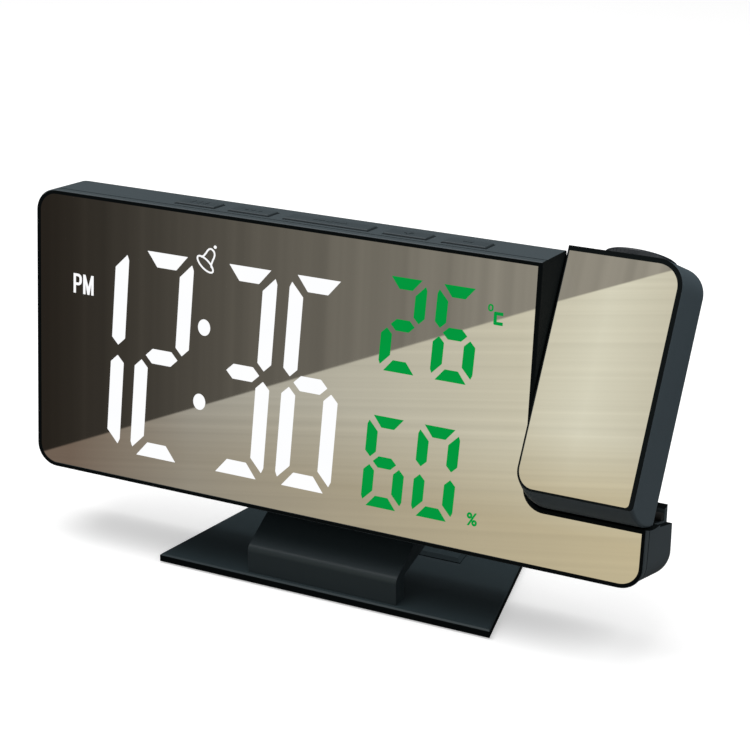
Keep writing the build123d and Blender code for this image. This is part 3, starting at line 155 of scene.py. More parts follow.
def choose(pieces):
    """Select whole pieces, with the first of them active."""
    bpy.ops.object.select_all(action="DESELECT")
    for piece in pieces:
        piece.select_set(True)
    bpy.context.view_layer.objects.active = pieces[0]


def join(pieces):
    """Join shaped pieces into one."""
    choose(pieces)
    bpy.ops.object.join()
    return pieces[0]


def copy_of(piece, change):
    """A copy with its own mesh, changed by a matrix."""
    twin = piece.copy()
    twin.data = piece.data.copy()
    scene.collection.objects.link(twin)
    twin.data.transform(change @ piece.matrix_basis)
    twin.matrix_basis = Matrix.Identity(4)
    return twin


def settle(piece, name, where, body, slot, replaced=()):
    """Give a shaped piece its name, its place in its own mesh, its body and its finish."""
    piece.name = name
    piece.data.name = name
    piece.data.transform(where @ piece.matrix_basis)
    piece.matrix_basis = Matrix.Identity(4)
    piece.data.materials.clear()
    piece.data.materials.append(finishes[slot])
    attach(piece, body)
    if replaced:
        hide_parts(*replaced)


# ---------------------------------------------------------------- paint
def straight(value):
    """A screen value, 0 to 255, on the straight scale that shaders take: the sRGB curve and its foot."""
    share = value / 255
    return share / 12.92 if share <= 0.04045 else ((share + 0.055) / 1.055) ** 2.4


def tone(red, green, blue):
    """A shader's colour from screen values."""
    return straight(red), straight(green), straight(blue), 1


def grey(level):
    """A shader's grey."""
    return level, level, level, 1


class Wire:
    """An output socket with arithmetic; every sign adds one Math node."""

    def __init__(self, paint, socket):
        self.paint = paint
        self.socket = socket

    def out(self, name):
        """Another output of the same node."""
        return Wire(self.paint, self.socket.node.outputs[name])

    def _maths(self, operation, first, second):
        return self.paint.node("Math", {"operation": operation}, {0: first, 1: second})

    def __add__(self, other):
        return self._maths("ADD", self, other)

    def __radd__(self, other):
        return self._maths("ADD", other, self)

    def __sub__(self, other):
        return self._maths("SUBTRACT", self, other)

    def __rsub__(self, other):
        return self._maths("SUBTRACT", other, self)

    def __mul__(self, other):
        return self._maths("MULTIPLY", self, other)

    def __rmul__(self, other):
        return self._maths("MULTIPLY", other, self)

    def __pow__(self, other):
        return self._maths("POWER", self, other)

    def __gt__(self, other):
        return self._maths("GREATER_THAN", self, other)

    def __lt__(self, other):
        return self._maths("LESS_THAN", self, other)


class Paint:
    """The nodes of a material, a lamp or the world, with one method that adds any node."""

    def __init__(self, name, owner=None):
        self.owner = owner or bpy.data.materials.new(name)
        self.owner.use_nodes = True
        self.tree = self.owner.node_tree
        self.tree.nodes.clear()

    def node(self, kind, settings=None, inputs=None):
        """Add a node: its settings first, a ramp's stops among them, then its sockets' values or wires."""
        made = self.tree.nodes.new("ShaderNode" + kind)
        for name, value in (settings or {}).items():
            if name == "stops":
                ramp = made.color_ramp.elements
                while len(ramp) < len(value):
                    ramp.new(0.5)
                for element, (position, colour) in zip(ramp, value):
                    element.position = position
                    element.color = colour
            else:
                setattr(made, name, value)
        for name, value in (inputs or {}).items():
            if isinstance(value, Wire):
                self.tree.links.new(value.socket, made.inputs[name])
            else:
                made.inputs[name].default_value = value
        return Wire(self, made.outputs[0]) if len(made.outputs) else made

    def end(self, shader, kind="Material"):
        """Lead a shader to the output."""
        self.node("Output" + kind, None, {"Surface": shader})
        return self.owner

    def spots(self, scale, detail=2.0, stretch=(1, 1, 1)):
        """Noise from 0 to 1 over the object, its scale in waves per metre."""
        where = self.node("TexCoord").out("Object")
        if stretch != (1, 1, 1):
            where = self.node("Mapping", None, {"Vector": where, "Scale": stretch})
        return self.node("TexNoise", None, {"Vector": where, "Scale": scale, "Detail": detail})

    def stripes(self, where, detail):
        """Noise from 0 to 1 along one number."""
        return self.node("TexNoise", {"noise_dimensions": "1D"}, {"W": where, "Scale": 1.0, "Detail": detail})

    def rise(self, value, low, high):
        """0 below a low value, 1 above a high one, and a straight rise between."""
        return self.node("MapRange", {"clamp": True}, {"Value": value, "From Min": low, "From Max": high})

    def blend(self, share, first, second):
        """A colour between two, by a share from 0 to 1."""
        mixed = self.node("Mix", {"data_type": "RGBA"}, {0: share, 6: first, 7: second})
        return Wire(self, mixed.socket.node.outputs[2])

    def parts(self, output):
        """The three numbers of a Texture Coordinate output."""
        split = self.node("SeparateXYZ", None, {"Vector": self.node("TexCoord").out(output)})
        return split.out("X"), split.out("Y"), split.out("Z")

    def relief(self, height, depth):
        """A surface normal from a height, its depth in thousandths of a millimetre."""
        return self.node("Bump", None, {"Height": height, "Distance": depth * MICRON, "Strength": 1.0})


# How squarely a face has to look along a direction, from 0 to 1, to count among those it names.
NOTCH_WALL_FACING = 0.15
NOTCH_FLOOR_FACING = 0.4
FRAME_RIM_FACING = 0.9
ARM_RIM_FACING = 0.93
PLATE_TOP_FACING = 0.5


def shaded_notch_faces(paint):
    """Marks the wall and the floor of the notch that the arm swings in, which get painted shade: near-black
    where the arm shades them.
    """
    x, _, z = paint.parts("Object")
    facing_x, _, facing_up = paint.parts("Normal")
    wall = (facing_x > NOTCH_WALL_FACING) * (x < NOTCH_WALL_REACH * MM)
    low_right = (x > NOTCH_LEFT * MM) * (z < NOTCH_FLOOR_TOP * MM)
    return wall + (facing_up > NOTCH_FLOOR_FACING) * low_right


def frame_black_and_shaded_faces(paint):
    """Marks the black faces of the front frame, its rim and the joint at its back, and its faces in the
    notch, which get painted near-black shade.
    """
    _, normal_y, normal_z = paint.parts("Normal")
    _, y, z = paint.parts("Object")
    rim = normal_y * front_dir.y + normal_z * front_dir.z > FRAME_RIM_FACING
    ahead = y * front_dir.y + z * front_dir.z
    joint = ahead < (front_foot.dot(front_dir) - JOINT_DEPTH) * MM
    return shaded_notch_faces(paint) + rim + joint


def arm_rim(paint):
    """Marks the flat rim around the arm's mirror, which is black."""
    _, y, z = paint.parts("Normal")
    return y * arm_front.y + z * arm_front.z > ARM_RIM_FACING


def plate_edges(paint):
    """Marks the cut edges of the base plate, which are darker than its top."""
    _, _, facing_up = paint.parts("Normal")
    return facing_up < PLATE_TOP_FACING


FINE_SHARE = 0.25
BROAD_WAVES = 22.0
BROAD_UNEVEN = 0.10
FINE_UNEVEN = 0.08
# Matt near-black: the colour of black faces, and painted shade on faces that a mask marks as shaded.
BLACK_AND_SHADE_LOW = tone(12, 16, 17)
BLACK_AND_SHADE_HIGH = tone(17, 21, 22)


def moulded(name, dark, light, rough, grain, relief, gloss=0.35, black_and_shade=None):
    """Moulded plastic: fine grain, broad faint tones and uneven gloss; the mask it is given marks faces made
    matt near-black: black faces, and faces with painted shade.
    """
    paint = Paint(name)
    fine = paint.spots(grain, 3.0)
    broad = paint.spots(BROAD_WAVES)
    uneven = (broad - 0.5) * BROAD_UNEVEN + (fine - 0.5) * FINE_UNEVEN
    grained = paint.relief(fine, relief)
    plastic = paint.node("BsdfPrincipled", None, {
        "Base Color": paint.blend(broad * (1 - FINE_SHARE) + fine * FINE_SHARE, dark, light),
        "Roughness": rough + uneven,
        "Specular IOR Level": gloss,
        "Normal": grained,
    })
    if black_and_shade:
        matt_black_and_shade = paint.node("BsdfPrincipled", None, {
            "Base Color": paint.blend(broad, BLACK_AND_SHADE_LOW, BLACK_AND_SHADE_HIGH),
            "Roughness": 0.7 + uneven,
            "Specular IOR Level": 0.02,
            "Normal": grained,
        })
        plastic = paint.node("MixShader", None, {0: black_and_shade(paint), 1: plastic, 2: matt_black_and_shade})
    return paint.end(plastic)


def metal(name, dark, light, rough, stretch):
    """Plated steel with fine drawn lines."""
    paint = Paint(name)
    lines = paint.spots(1800.0, stretch=stretch)
    return paint.end(paint.node("BsdfPrincipled", None, {
        "Base Color": paint.blend(lines, dark, light),
        "Metallic": 1.0,
        "Roughness": rough + (lines - 0.5) * 0.15,
        "Normal": paint.relief(lines, 10),
    }))


def smoky_mirror():
    """Half-silvered film behind clear acrylic, with the faintest wipe marks."""
    paint = Paint("smoky_mirror")
    wipes = paint.spots(60.0, 4.0, (1, 1, 0.25))
    return paint.end(paint.node("BsdfPrincipled", None, {
        "Base Color": paint.blend(wipes, tone(202, 200, 193), tone(208, 206, 200)),
        "Metallic": 1.0,
        "Roughness": 0.018 + wipes * 0.02,
        "Coat Weight": 0.3,
        "Coat Roughness": 0.01,
    }))


def lit(name, edge, colour):
    """A lit character, a touch brighter in places as light spreads in its guide."""
    paint = Paint(name)
    patches = paint.spots(120.0, 1.0)
    return paint.end(paint.node("BsdfPrincipled", None, {
        "Base Color": grey(0.002),
        "Roughness": 0.5 + patches * 0.1,
        "Specular IOR Level": 0.0,
        "Emission Color": paint.blend(patches, edge, colour),
        "Emission Strength": 1.0,
    }))


def clear(name, tint, rough):
    """A clear moulded optic."""
    paint = Paint(name)
    haze = paint.spots(400.0)
    return paint.end(paint.node("BsdfPrincipled", None, {
        "Base Color": paint.blend(haze, tint, grey(1)),
        "Roughness": rough + haze * 0.02,
        "Transmission Weight": 1.0,
        "IOR": 1.49,
    }))


def board(name, mask, copper):
    """Solder mask over copper tracks."""
    paint = Paint(name)
    tracks = paint.node("TexBrick", {"offset": 0.37}, {
        "Vector": paint.node("TexCoord").out("Object"),
        "Scale": 260.0, "Mortar Size": 0.012, "Mortar Smooth": 0.2,
        "Color1": grey(0), "Color2": grey(0), "Mortar": grey(1),
    })
    speck = paint.spots(900.0)
    share = tracks.out("Fac") * 0.7 + speck * 0.3
    return paint.end(paint.node("BsdfPrincipled", None, {
        "Base Color": paint.blend(share, mask, copper),
        "Roughness": 0.42 + speck * 0.1,
        "Normal": paint.relief(share, 30),
    }))


finishes = {
    # The frame's notch faces get painted near-black shade, beside its black rim and joint.
    "rim": moulded(
        "frame_plastic", tone(56, 64, 68), tone(62, 71, 75),
        rough=0.5, grain=2600.0, relief=6, gloss=0.3, black_and_shade=frame_black_and_shaded_faces,
    ),
    # The case's notch wall and floor get painted near-black shade through its mask.
    "case": moulded(
        "case_plastic", tone(58, 66, 70), tone(64, 73, 77),
        rough=0.56, grain=2400.0, relief=12, gloss=0.2, black_and_shade=shaded_notch_faces,
    ),
    "arm": moulded(
        "arm_plastic", tone(61, 72, 78), tone(67, 79, 85),
        rough=0.5, grain=2400.0, relief=12, black_and_shade=arm_rim,
    ),
    "button": moulded(
        "button_plastic", tone(50, 58, 62), tone(56, 65, 69),
        rough=0.52, grain=2400.0, relief=10, gloss=0.3,
    ),
    "ring": moulded(
        "ring_black", tone(15, 21, 27), tone(19, 26, 33),
        rough=0.34, grain=2400.0, relief=5, gloss=0.3,
    ),
    "base": moulded(
        "plate_satin", tone(47, 58, 62), tone(51, 62, 66),
        rough=0.36, grain=900.0, relief=2, gloss=0.24, black_and_shade=plate_edges,
    ),
    "bracket": moulded(
        "bracket_satin", tone(39, 49, 53), tone(43, 54, 58),
        rough=0.46, grain=900.0, relief=3, gloss=0.28,
    ),
    "mirror": smoky_mirror(),
    "white_guide": lit("lit_white", (0.97, 0.98, 1.0, 1), grey(1)),
    "green_guide": lit("lit_green", tone(0, 147, 59), tone(0, 154, 64)),
    "circuit_board": board("circuit_board", (0.006, 0.055, 0.02, 1), (0.03, 0.17, 0.06, 1)),
    "clear_lens": clear("clear_lens", (0.93, 0.95, 0.97, 1), 0.01),
    "cell_steel": metal("cell_steel", (0.5, 0.49, 0.46, 1), (0.66, 0.65, 0.62, 1), 0.28, (1, 0.1, 1)),
    "screw_steel": metal("screw_steel", (0.2, 0.2, 0.21, 1), (0.34, 0.34, 0.35, 1), 0.34, (1, 0.2, 1)),
    "led_body": moulded(
        "lamp_body", (0.6, 0.58, 0.4, 1), (0.75, 0.73, 0.52, 1), rough=0.3, grain=1500.0, relief=5,
    ),
    "chip": moulded(
        "chip_black", (0.012, 0.012, 0.013, 1), (0.024, 0.024, 0.026, 1), rough=0.5, grain=1800.0, relief=10,
    ),
    "socket": moulded(
        "socket_black", (0.008, 0.008, 0.009, 1), (0.014, 0.014, 0.015, 1),
        rough=0.3, grain=2000.0, relief=5, gloss=0.5,
    ),
    "mask": moulded("mask_black", grey(0.012), grey(0.02), rough=0.6, grain=1500.0, relief=10),
    "rubber": moulded("rubber", grey(0.008), grey(0.018), rough=0.8, grain=1400.0, relief=30, gloss=0.2),
    "bush": moulded("acetal", grey(0.02), grey(0.034), rough=0.32, grain=1800.0, relief=5),
    "cable": moulded("cable_sleeve", grey(0.012), grey(0.02), rough=0.55, grain=1500.0, relief=20),
    "chassis": moulded("chassis_black", grey(0.01), grey(0.018), rough=0.55, grain=1500.0, relief=10),
}
for part in frame["record"]["subparts"]:
    for holder in frame["nodes"][part["node"]].material_slots:
        holder.material = finishes[part["material_slot"]]

# ---------------------------------------------------------------- lit digits
GLOW = 0.04
SLANT = tan(radians(2.9))
ROUND_SIDES = 40
BIG = {"width": 17.3, "height": 60.3, "stroke": 4.3, "soften": 0.12}
BIG_BASE = 8.8
BIG_LEFTS = (-82.6, -61.6, -35.4, -14.3)
COLON_SIZE = (3.9, 4.7)
COLON_SPOTS = ((-37.8, 49.9), (-38.9, 28.2))
SMALL = {"width": 12.1, "height": 26.0, "stroke": 3.2, "soften": 0.1}
SMALL_PITCH = 15.05
UPPER_LEFT, UPPER_BASE = 15.8, 46.9
LOWER_LEFT, LOWER_BASE = 12.4, 8.1
SEGMENTS_OF = {"0": "abcdef", "1": "bc", "2": "abged", "3": "abgcd", "6": "afgecd"}


def trimmed_plate(outline, soften=0.0):
    """A thin plate cut to an outline without hollows: a plane, trimmed along each edge and raised."""
    xs = [x for x, _ in outline]
    ys = [y for _, y in outline]
    middle = Vector((sum(xs) / len(xs), sum(ys) / len(ys), 0))
    plate = start("plane", size=2 * max(max(xs) - min(xs), max(ys) - min(ys)), location=middle)
    for here, there in zip(outline, outline[1:] + outline[:1]):
        corner = Vector((*here, 0))
        outwards = (Vector((*there, 0)) - corner).cross(Vector((0, 0, 1)))
        outwards.normalize()
        if outwards.dot(middle - corner) > 0:
            outwards.negate()
        bpy.ops.mesh.select_all(action="SELECT")
        bpy.ops.mesh.bisect(plane_co=corner, plane_no=outwards, clear_outer=True)
    bpy.ops.mesh.select_all(action="SELECT")
    if soften:
        bpy.ops.mesh.bevel(offset=soften, segments=2, affect="VERTICES")
        bpy.ops.mesh.select_all(action="SELECT")
    lift(GLOW)
    return clean(plate)


def segment_outlines(width, height, stroke):
    """The seven bars of an upright digit with its lower left corner at the origin."""
    middle = height / 2
    corner = stroke * 0.5
    bevel = stroke * 1.3
    tip = stroke * 0.8
    shoulder = stroke * 0.85
    nick = stroke * 0.15
    inside = stroke * 1.4
    step = stroke * 0.35
    top_bar = [
        (corner, height), (width - corner, height),
        (width - bevel, height - stroke), (bevel, height - stroke),
    ]
    middle_bar = [
        (tip, middle), (bevel, middle + corner), (width - bevel, middle + corner),
        (width - tip, middle), (width - bevel, middle - corner), (bevel, middle - corner),
    ]
    upper_left = [
        (0, height - shoulder), (nick, height - corner), (stroke, height - inside),
        (stroke, middle + shoulder), (corner, middle + step), (0, middle + shoulder),
    ]
    bars = {"a": top_bar, "g": middle_bar, "f": upper_left}
    bars["b"] = [(width - x, y) for x, y in upper_left]
    bars["e"] = [(x, height - y) for x, y in upper_left]
    bars["c"] = [(width - x, height - y) for x, y in upper_left]
    bars["d"] = [(x, height - y) for x, y in top_bar]
    return bars


def lit_digits(digits, width, height, stroke, soften):
    """Digits of one size: each bar is modelled once and copied to every digit that lights it."""
    outlines = segment_outlines(width, height, stroke)
    models = {name: trimmed_plate(outline, soften) for name, outline in outlines.items()}
    leaning = Matrix(((1, SLANT, 0, 0), (0, 1, 0, 0), (0, 0, 1, 0), (0, 0, 0, 1)))
    bars = []
    for digit, left, base in digits:
        for name in SEGMENTS_OF[digit]:
            bars.append(copy_of(models[name], Matrix.Translation((left, base, 0)) @ leaning))
    for model in models.values():
        bpy.data.objects.remove(model)
    return bars


def disc(wide, high):
    """A flat oval face about the origin."""
    plate = start("circle", vertices=ROUND_SIDES, radius=0.5, fill_type="NGON")
    grow(wide, high)
    return plate


def oval(wide, high, centre):
    """A thin filled oval."""
    plate = disc(wide, high)
    bpy.ops.mesh.select_all(action="SELECT")
    lift(GLOW)
    clean(plate)
    plate.data.transform(Matrix.Translation((*centre, 0)))
    return plate


on_mirror = on_front @ Matrix.Translation((0, 0, -MIRROR_SINK - GLOW / 4))
time_bars = lit_digits([(digit, left, BIG_BASE) for digit, left in zip("1236", BIG_LEFTS)], **BIG)
time_bars += [oval(*COLON_SIZE, spot) for spot in COLON_SPOTS]
settle(join(time_bars), "lit_time", on_mirror, "case", "white_guide")

warmth = [("2", UPPER_LEFT, UPPER_BASE), ("6", UPPER_LEFT + SMALL_PITCH, UPPER_BASE)]
damp = [("6", LOWER_LEFT, LOWER_BASE), ("0", LOWER_LEFT + SMALL_PITCH, LOWER_BASE)]
settle(join(lit_digits(warmth + damp, **SMALL)), "lit_climate", on_mirror, "case", "green_guide")


# ---------------------------------------------------------------- lit signs and letters
def hollowed(plate, stroke, centre, turn=0.0, cut=None):
    """Inset the plate's face, open its middle and raise what is left, then turn it and move it."""
    bpy.ops.mesh.inset(thickness=stroke)
    bpy.ops.mesh.delete(type="FACE")
    bpy.ops.mesh.select_all(action="SELECT")
    if cut:
        bpy.ops.mesh.bisect(plane_co=cut[0], plane_no=cut[1], clear_outer=True)
        bpy.ops.mesh.select_all(action="SELECT")
    lift(GLOW)
    clean(plate)
    plate.data.transform(Matrix.Translation((*centre, 0)) @ Matrix.Rotation(turn, 4, "Z"))
    return plate


def ring_plate(wide, high, corner, stroke, centre, cut=None):
    """A thin outline: a rounded plate, inset and hollowed; cut is a point and the direction that goes."""
    plate = start("plane", size=1, location=(0, 0, 0))
    grow(wide, high)
    bpy.ops.mesh.bevel(offset=corner, segments=6, affect="VERTICES")
    bpy.ops.mesh.select_all(action="SELECT")
    return hollowed(plate, stroke, centre, cut=cut)


def lettering(text, low, high, weight):
    """Flat letters made a mesh, and fitted between two corners."""
    bpy.ops.object.select_all(action="DESELECT")
    bpy.ops.object.text_add()
    letters = bpy.context.object
    letters.data.body = text
    letters.data.offset = weight
    letters.data.extrude = GLOW / 2
    bpy.ops.object.convert(target="MESH")
    letters = bpy.context.object
    bpy.ops.object.mode_set(mode="EDIT")
    clean(letters)
    xs = [v.co.x for v in letters.data.vertices]
    ys = [v.co.y for v in letters.data.vertices]
    wide = (high[0] - low[0]) / (max(xs) - min(xs))
    tall = (high[1] - low[1]) / (max(ys) - min(ys))
    shift = Matrix.Translation((low[0] - min(xs) * wide, low[1] - min(ys) * tall, GLOW / 2))
    letters.data.transform(shift @ Matrix.Diagonal((wide, tall, 1, 1)))
    return letters


# Degree sign, squared C and percent sign.
degree = ring_plate(wide=1.5, high=2.0, corner=0.74, stroke=0.45, centre=(47.1, 68.6))
letter_c = ring_plate(
    wide=5.2, high=3.5, corner=0.4, stroke=0.88, centre=(50.65, 66.0), cut=((0, 0, 0), (1, 0, 0)),
)
percent = lettering("%", low=(43.9, 8.5), high=(46.9, 12.2), weight=0.028)
settle(join([degree, letter_c, percent]), "lit_units", on_mirror, "case", "green_guide")

# The letters P and M: upright stems, the P's bowl and the M's two slanting strokes.
LETTER_LOW = 53.5
LETTER_HIGH = 59.2
LETTER_STEM = 0.78
P_LEFT = -81.0
P_BOWL_DROP = 1.7
BOWL_OVERLAP = 0.2
M_LEFT = -77.75
M_MIDDLE = -76.0
M_FOOT = 0.36
VEE_THICKNESS = 2.4
VEE_CROTCH = 2.3


def stem(left):
    """An upright stroke of a letter."""
    right = left + LETTER_STEM
    return trimmed_plate([(left, LETTER_LOW), (right, LETTER_LOW), (right, LETTER_HIGH), (left, LETTER_HIGH)])


bowl = ring_plate(
    wide=4.4, high=3.4, corner=1.3, stroke=LETTER_STEM,
    centre=(P_LEFT + LETTER_STEM - BOWL_OVERLAP, LETTER_HIGH - P_BOWL_DROP),
    cut=((BOWL_OVERLAP, 0, 0), (-1, 0, 0)),
)
half_vee = [
    (M_LEFT + LETTER_STEM, LETTER_HIGH), (M_LEFT + LETTER_STEM, LETTER_HIGH - VEE_THICKNESS),
    (M_MIDDLE - M_FOOT, LETTER_LOW), (M_MIDDLE, LETTER_LOW), (M_MIDDLE, LETTER_LOW + VEE_CROTCH),
]
letters = [
    stem(P_LEFT), bowl, stem(M_LEFT), stem(2 * M_MIDDLE - M_LEFT - LETTER_STEM),
    trimmed_plate(half_vee), trimmed_plate([(2 * M_MIDDLE - x, y) for x, y in half_vee]),
]
settle(join(letters), "lit_half_day", on_mirror, "case", "white_guide")

# ---------------------------------------------------------------- lit bell
# A dome that flares to its mouth, by height and half width, then the oval mouth and a knob.
BELL_ROWS = (
    (0.0, 2.95), (0.6, 2.45), (1.5, 1.85), (2.6, 1.65), (3.5, 1.6), (4.2, 1.4), (4.7, 1.0), (5.0, 0.45),
)
LAST_ROW = len(BELL_ROWS) - 1
BELL_TURN = radians(-38.5)
BELL_LEAN = -0.16
BELL_LINE = 0.5
BELL_OPENS_BELOW = 0.55
MOUTH_CENTRE = (-37.85, 67.9)
MOUTH_SIZE = (6.6, 3.1)
KNOB_CENTRE = (-34.8, 73.1)
KNOB_SIZE = (0.95, 0.95)
bell = start("grid", x_subdivisions=1, y_subdivisions=LAST_ROW, size=2)
for row, (_, half_width) in enumerate(BELL_ROWS):
    level = -1 + 2 * row / LAST_ROW
    choose_edges(bell, lambda one, two: abs(one.y - level) + abs(two.y - level) < 0.01)
    grow(half_width, 1, (0, level, 0))
bpy.ops.object.mode_set(mode="OBJECT")
for point in bell.data.vertices:
    height = BELL_ROWS[round((point.co.y + 1) / 2 * LAST_ROW)][0]
    point.co = (point.co.x + height * BELL_LEAN, height, 0)
bpy.ops.object.mode_set(mode="EDIT")
bpy.ops.mesh.select_mode(type="FACE")
bpy.ops.mesh.select_all(action="SELECT")
bpy.ops.mesh.dissolve_faces()
bpy.ops.mesh.select_all(action="SELECT")
hollowed(bell, BELL_LINE, MOUTH_CENTRE, BELL_TURN, cut=((0, BELL_OPENS_BELOW, 0), (0, -1, 0)))
mouth = hollowed(disc(*MOUTH_SIZE), BELL_LINE, MOUTH_CENTRE, BELL_TURN)
knob = oval(*KNOB_SIZE, KNOB_CENTRE)
settle(join([bell, mouth, knob]), "lit_bell", on_mirror, "case", "white_guide")

# ---------------------------------------------------------------- focus ring
RING_OUTSIDE = 9.6
RING_FOOT = ARM_TOP + 0.2
WALL_LOW = 0.2
WALL_HIGH = 1.15
RING_PROFILE = (
    (RING_OUTSIDE, WALL_LOW), (RING_OUTSIDE, WALL_HIGH), (9.4, 1.5), (8.9, 1.75),
    (7.4, 1.75), (6.9, 1.5), (6.7, 1.2), (6.7, 0.0),
)
RIBS = 48
RIB_STEP = pi / RIBS
RIB_HEIGHT = 0.06
SMOOTH_BELOW = radians(20)
NEAR = 0.1


def is_rib(middle, normal):
    """Every other face of the ring's upright outer wall."""
    turn = round((Vector(middle.xy).angle_signed(Vector((1, 0))) + pi) / RIB_STEP - 0.5)
    on_wall = WALL_LOW < middle.z - RING_FOOT < WALL_HIGH and abs(normal.z) < NEAR
    return on_wall and middle.xy.length > RING_OUTSIDE - NEAR and turn % 2 == 0


ring = start("circle", vertices=2 * RIBS, radius=RING_OUTSIDE)
bpy.ops.transform.translate(value=(0, 0, RING_FOOT))
last_radius, last_height = RING_OUTSIDE, 0.0
for radius, height in RING_PROFILE:
    lift(height - last_height)
    grow(radius / last_radius, radius / last_radius)
    last_radius, last_height = radius, height
choose_edges(ring, lambda one, two: max(one.z, two.z) < RING_FOOT + NEAR)
bpy.ops.mesh.bridge_edge_loops()
clean(ring)
bpy.ops.object.mode_set(mode="EDIT")
choose_faces(ring, is_rib)
bpy.ops.mesh.extrude_region_shrink_fatten(TRANSFORM_OT_shrink_fatten={"value": RIB_HEIGHT})
clean(ring)
choose([ring])
bpy.ops.object.shade_smooth_by_angle(angle=SMOOTH_BELOW)
settle(ring, "ribbed_focus_ring", on_lens, "ring", "ring", ["focus_ring"])


# ---------------------------------------------------------------- stage
def glow(name, colour, strength):
    """A plain even glow."""
    paint = Paint(name)
    return paint.end(paint.node("Emission", None, {"Color": colour, "Strength": strength}))


def only_reflected(thing):
    """Hide a card or a lamp from all but reflections."""
    thing.visible_camera = False
    thing.visible_diffuse = False
    thing.visible_transmission = False


def stage_card(name, corners, look):
    """A flat card through four points, seen in reflections alone."""
    bpy.ops.object.select_all(action="DESELECT")
    bpy.ops.mesh.primitive_plane_add(size=2)
    card = bpy.context.object
    card.name = name
    for point, corner in zip(card.data.vertices, corners):
        point.co = corner
    card.data.materials.append(look)
    card.visible_shadow = False
    only_reflected(card)


def reflected_outline(origin, outward, low, high, reach):
    """Four corners of a mirror's face, moved out along the rays that it reflects; 1 leaves them on it."""
    mirrored_eye = EYE - outward * (2 * (EYE - origin * MM).dot(outward))
    upward = outward.cross(across)
    corners = [(origin + across * x + upward * y) * MM for y in (low.y, high.y) for x in (low.x, high.x)]
    return [mirrored_eye + (corner - mirrored_eye) * reach for corner in corners]


# What the mirrors show: a dim half that clears towards the right, over a sunlit half with a grey wall, a soft
# streak of sun on it, and warm floor boards. Shares run from the clock's left end, 0, to its right end, 1.
DIM_LEFT = tone(36, 32, 28)
DIM_RIGHT = tone(143, 139, 130)
DIM_REACH = 0.9
DIM_CURVE = 1.4
CORNER = (0.06, tone(109, 95, 85))
WALL_TONES = [CORNER, (0.28, tone(156, 154, 148)), (0.8, tone(194, 190, 173))]
BOARD_TONES = [CORNER, (0.28, tone(144, 138, 127)), (1.0, tone(188, 177, 148))]
SUN_STREAK = tone(208, 206, 190)
STREAK_SHARE = 0.9
STREAK_HALF = 0.1
ROOM_LEVEL = 1.68
LINE_BLUR = 0.25
FOLD_WAVES = 0.16
PLANK_WAVES = 0.5
PLANK_LEAN = 0.08
EVEN_SHADE = 0.75
FOLD_SHADE = 0.5
PLANK_SHADE = 0.22
SUN_SHADE = 0.15


def room_tones(paint, flat, low, high, line, wall_from):
    """Soft tones of a dim half over a sunlit one, parted by a line of a slope and a height in millimetres."""
    spread = paint.node("SeparateXYZ", None, {"Vector": flat})
    x = spread.out("X") * (high.x - low.x) + low.x
    y = spread.out("Y") * (high.y - low.y) + low.y
    share = x * (1 / CASE_WIDTH) + 0.5
    dim = paint.blend(paint.rise(share, 0.0, DIM_REACH) ** DIM_CURVE, DIM_LEFT, DIM_RIGHT)
    plain_wall = paint.node("ValToRGB", {"stops": WALL_TONES}, {"Fac": share})
    boards = paint.node("ValToRGB", {"stops": BOARD_TONES}, {"Fac": share})
    into_streak = paint.rise(share, STREAK_SHARE - STREAK_HALF, STREAK_SHARE)
    out_of_streak = paint.rise(share, STREAK_SHARE, STREAK_SHARE + STREAK_HALF)
    wall = paint.blend(into_streak - out_of_streak, plain_wall, SUN_STREAK)
    sunlit = paint.blend(paint.rise(y, *wall_from), boards, wall)
    folds = paint.stripes(x * FOLD_WAVES, 2.0)
    planks = paint.stripes(y * PLANK_WAVES - x * PLANK_LEAN, 3.0)
    slope, line_height = line
    over = paint.rise(y - x * slope, line_height - LINE_BLUR, line_height + LINE_BLUR)
    shade = over * (folds * FOLD_SHADE) + (1 - over) * (planks * PLANK_SHADE + SUN_SHADE) + EVEN_SHADE
    colour = paint.blend(over, sunlit, dim)
    return paint.node("Emission", None, {"Color": colour, "Strength": shade * ROOM_LEVEL})


# What the case's mirror shows: a card in front of the clock.
CASE_CARD_REACH = 1.13
case_low = Vector((-95, -0.5))
case_high = Vector((95, 84))
room = Paint("room_over_case")
room_look = room.end(room_tones(
    room, room.node("TexCoord").out("UV"), case_low, case_high, line=(0.4406, 43.99), wall_from=(12.0, 34.0),
))
case_card = reflected_outline(front_foot, front_dir, case_low, case_high, CASE_CARD_REACH)
stage_card("case_reflection", case_card, room_look)

# What the arm's mirror shows: a lamp close to it. Its light adds to what lies behind, so a black card
# stands there. Pi watts per square metre show a lamp's picture at its own strength.
GLARE_REACH = 1.0045
DARK_SKY_REACH = 1.105
arm_low = Vector((61.2, -33))
arm_high = Vector((96, 38))
spare = Vector((1, 5))
night_card = reflected_outline(arm_face, arm_front, arm_low - spare, arm_high + spare, DARK_SKY_REACH)
stage_card("dark_sky", night_card, glow("dark_sky", grey(0), 0.0))
glare_corners = reflected_outline(arm_face, arm_front, arm_low, arm_high, GLARE_REACH)
lower_left, lower_right, upper_left, upper_right = glare_corners
glare_data = bpy.data.lights.new("arm_glare", "AREA")
glare_data.shape = "RECTANGLE"
glare_data.size = (lower_right - lower_left).length
glare_data.size_y = (upper_left - lower_left).length
glare_data.energy = pi * glare_data.size * glare_data.size_y
glare_data.use_shadow = False
glare_paint = Paint("arm_glare", glare_data)
glare_paint.end(room_tones(
    glare_paint, glare_paint.node("NewGeometry").out("Parametric"), arm_low, arm_high,
    line=(0.4465, -6.58), wall_from=(-30.0, -12.0),
), "Light")
glare = bpy.data.objects.new("arm_glare", glare_data)
glare.matrix_world = Matrix.Translation((lower_left + upper_right) / 2) @ facing(arm_front)
only_reflected(glare)
scene.collection.objects.link(glare)

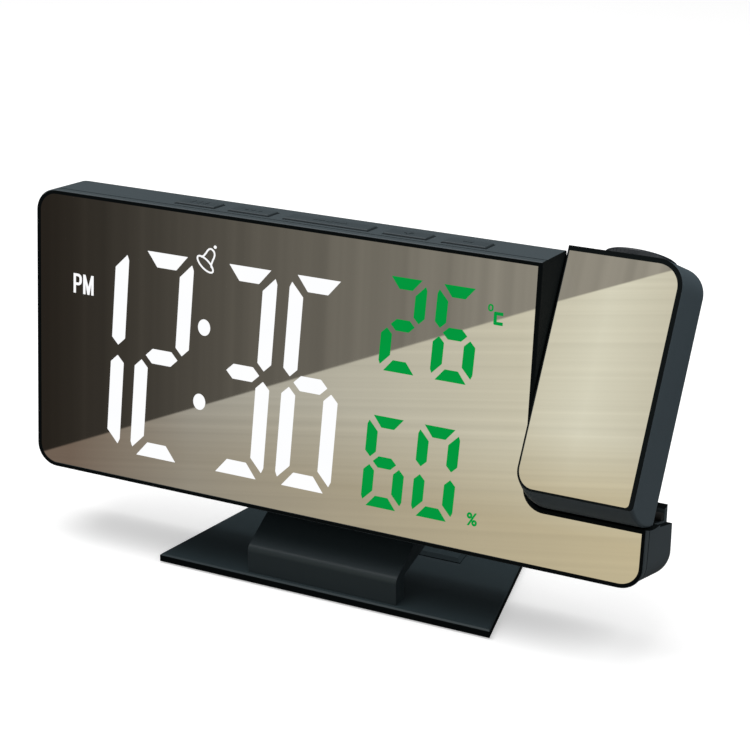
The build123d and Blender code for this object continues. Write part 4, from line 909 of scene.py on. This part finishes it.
# Dark flags, seen only in gloss: behind the clock and to its right, low over the floor.
FLAG_BEHIND = [(-0.9, 0.30, 0.001), (0.7, 0.30, 0.001), (-0.9, 0.36, 0.55), (0.7, 0.36, 0.55)]
FLAG_RIGHT = [(0.12, -0.3, 0.002), (0.6, -0.3, 0.002), (0.12, 0.30, 0.002), (0.6, 0.30, 0.002)]
flag_look = glow("dark_flag", tone(44, 50, 53), 1.0)
stage_card("flag_behind", FLAG_BEHIND, flag_look)
stage_card("flag_right", FLAG_RIGHT, flag_look)

# The floor: bright to the camera, and dim where it would light the clock from below.
floor = Paint("pale_floor")
floor_diffuse = floor.node("BsdfDiffuse", None, {
    "Color": floor.blend(floor.spots(9.0), grey(0.86), grey(0.88)), "Roughness": 0.5,
})
floor_glow = floor.node("Emission", None, {"Color": grey(1), "Strength": 0.42})
floor_seen = floor.node("AddShader", None, {0: floor_diffuse, 1: floor_glow})
floor_bounce = floor.node("BsdfDiffuse", None, {"Color": grey(0.2), "Roughness": 0.5})
bpy.ops.object.select_all(action="DESELECT")
bpy.ops.mesh.primitive_plane_add(size=12)
ground = bpy.context.object
ground.name = "floor"
ground.data.materials.append(floor.end(floor.node("MixShader", None, {
    0: floor.node("LightPath").out("Is Camera Ray"), 1: floor_bounce, 2: floor_seen,
})))

# ---------------------------------------------------------------- world and lamps
world = scene.world or bpy.data.worlds.new("world")
scene.world = world
sky = Paint("world", world)
path = sky.node("LightPath")
plain_sight = path.out("Is Camera Ray") + path.out("Is Glossy Ray") + path.out("Is Transmission Ray")
soft_light = sky.node("Background", None, {"Color": grey(1), "Strength": 0.42})
white_ground = sky.node("Background", None, {"Color": grey(1), "Strength": 1.0})
sky.end(sky.node("MixShader", None, {0: plain_sight, 1: soft_light, 2: white_ground}), "World")


def softbox(name, where, aim, size, power):
    """A square area lamp that faces a point."""
    lamp_data = bpy.data.lights.new(name, "AREA")
    lamp_data.shape = "SQUARE"
    lamp_data.size = size
    lamp_data.energy = power
    lamp = bpy.data.objects.new(name, lamp_data)
    lamp.location = where
    lamp.rotation_euler = (Vector(aim) - Vector(where)).to_track_quat("-Z", "Y").to_euler()
    scene.collection.objects.link(lamp)


softbox("key_above", where=(-0.15, -0.1, 0.9), aim=(0, 0, 0.05), size=0.7, power=5.4)
softbox("fill_right", where=(0.30, 0.02, 0.28), aim=(0.09, 0, 0.07), size=0.2, power=0.3)
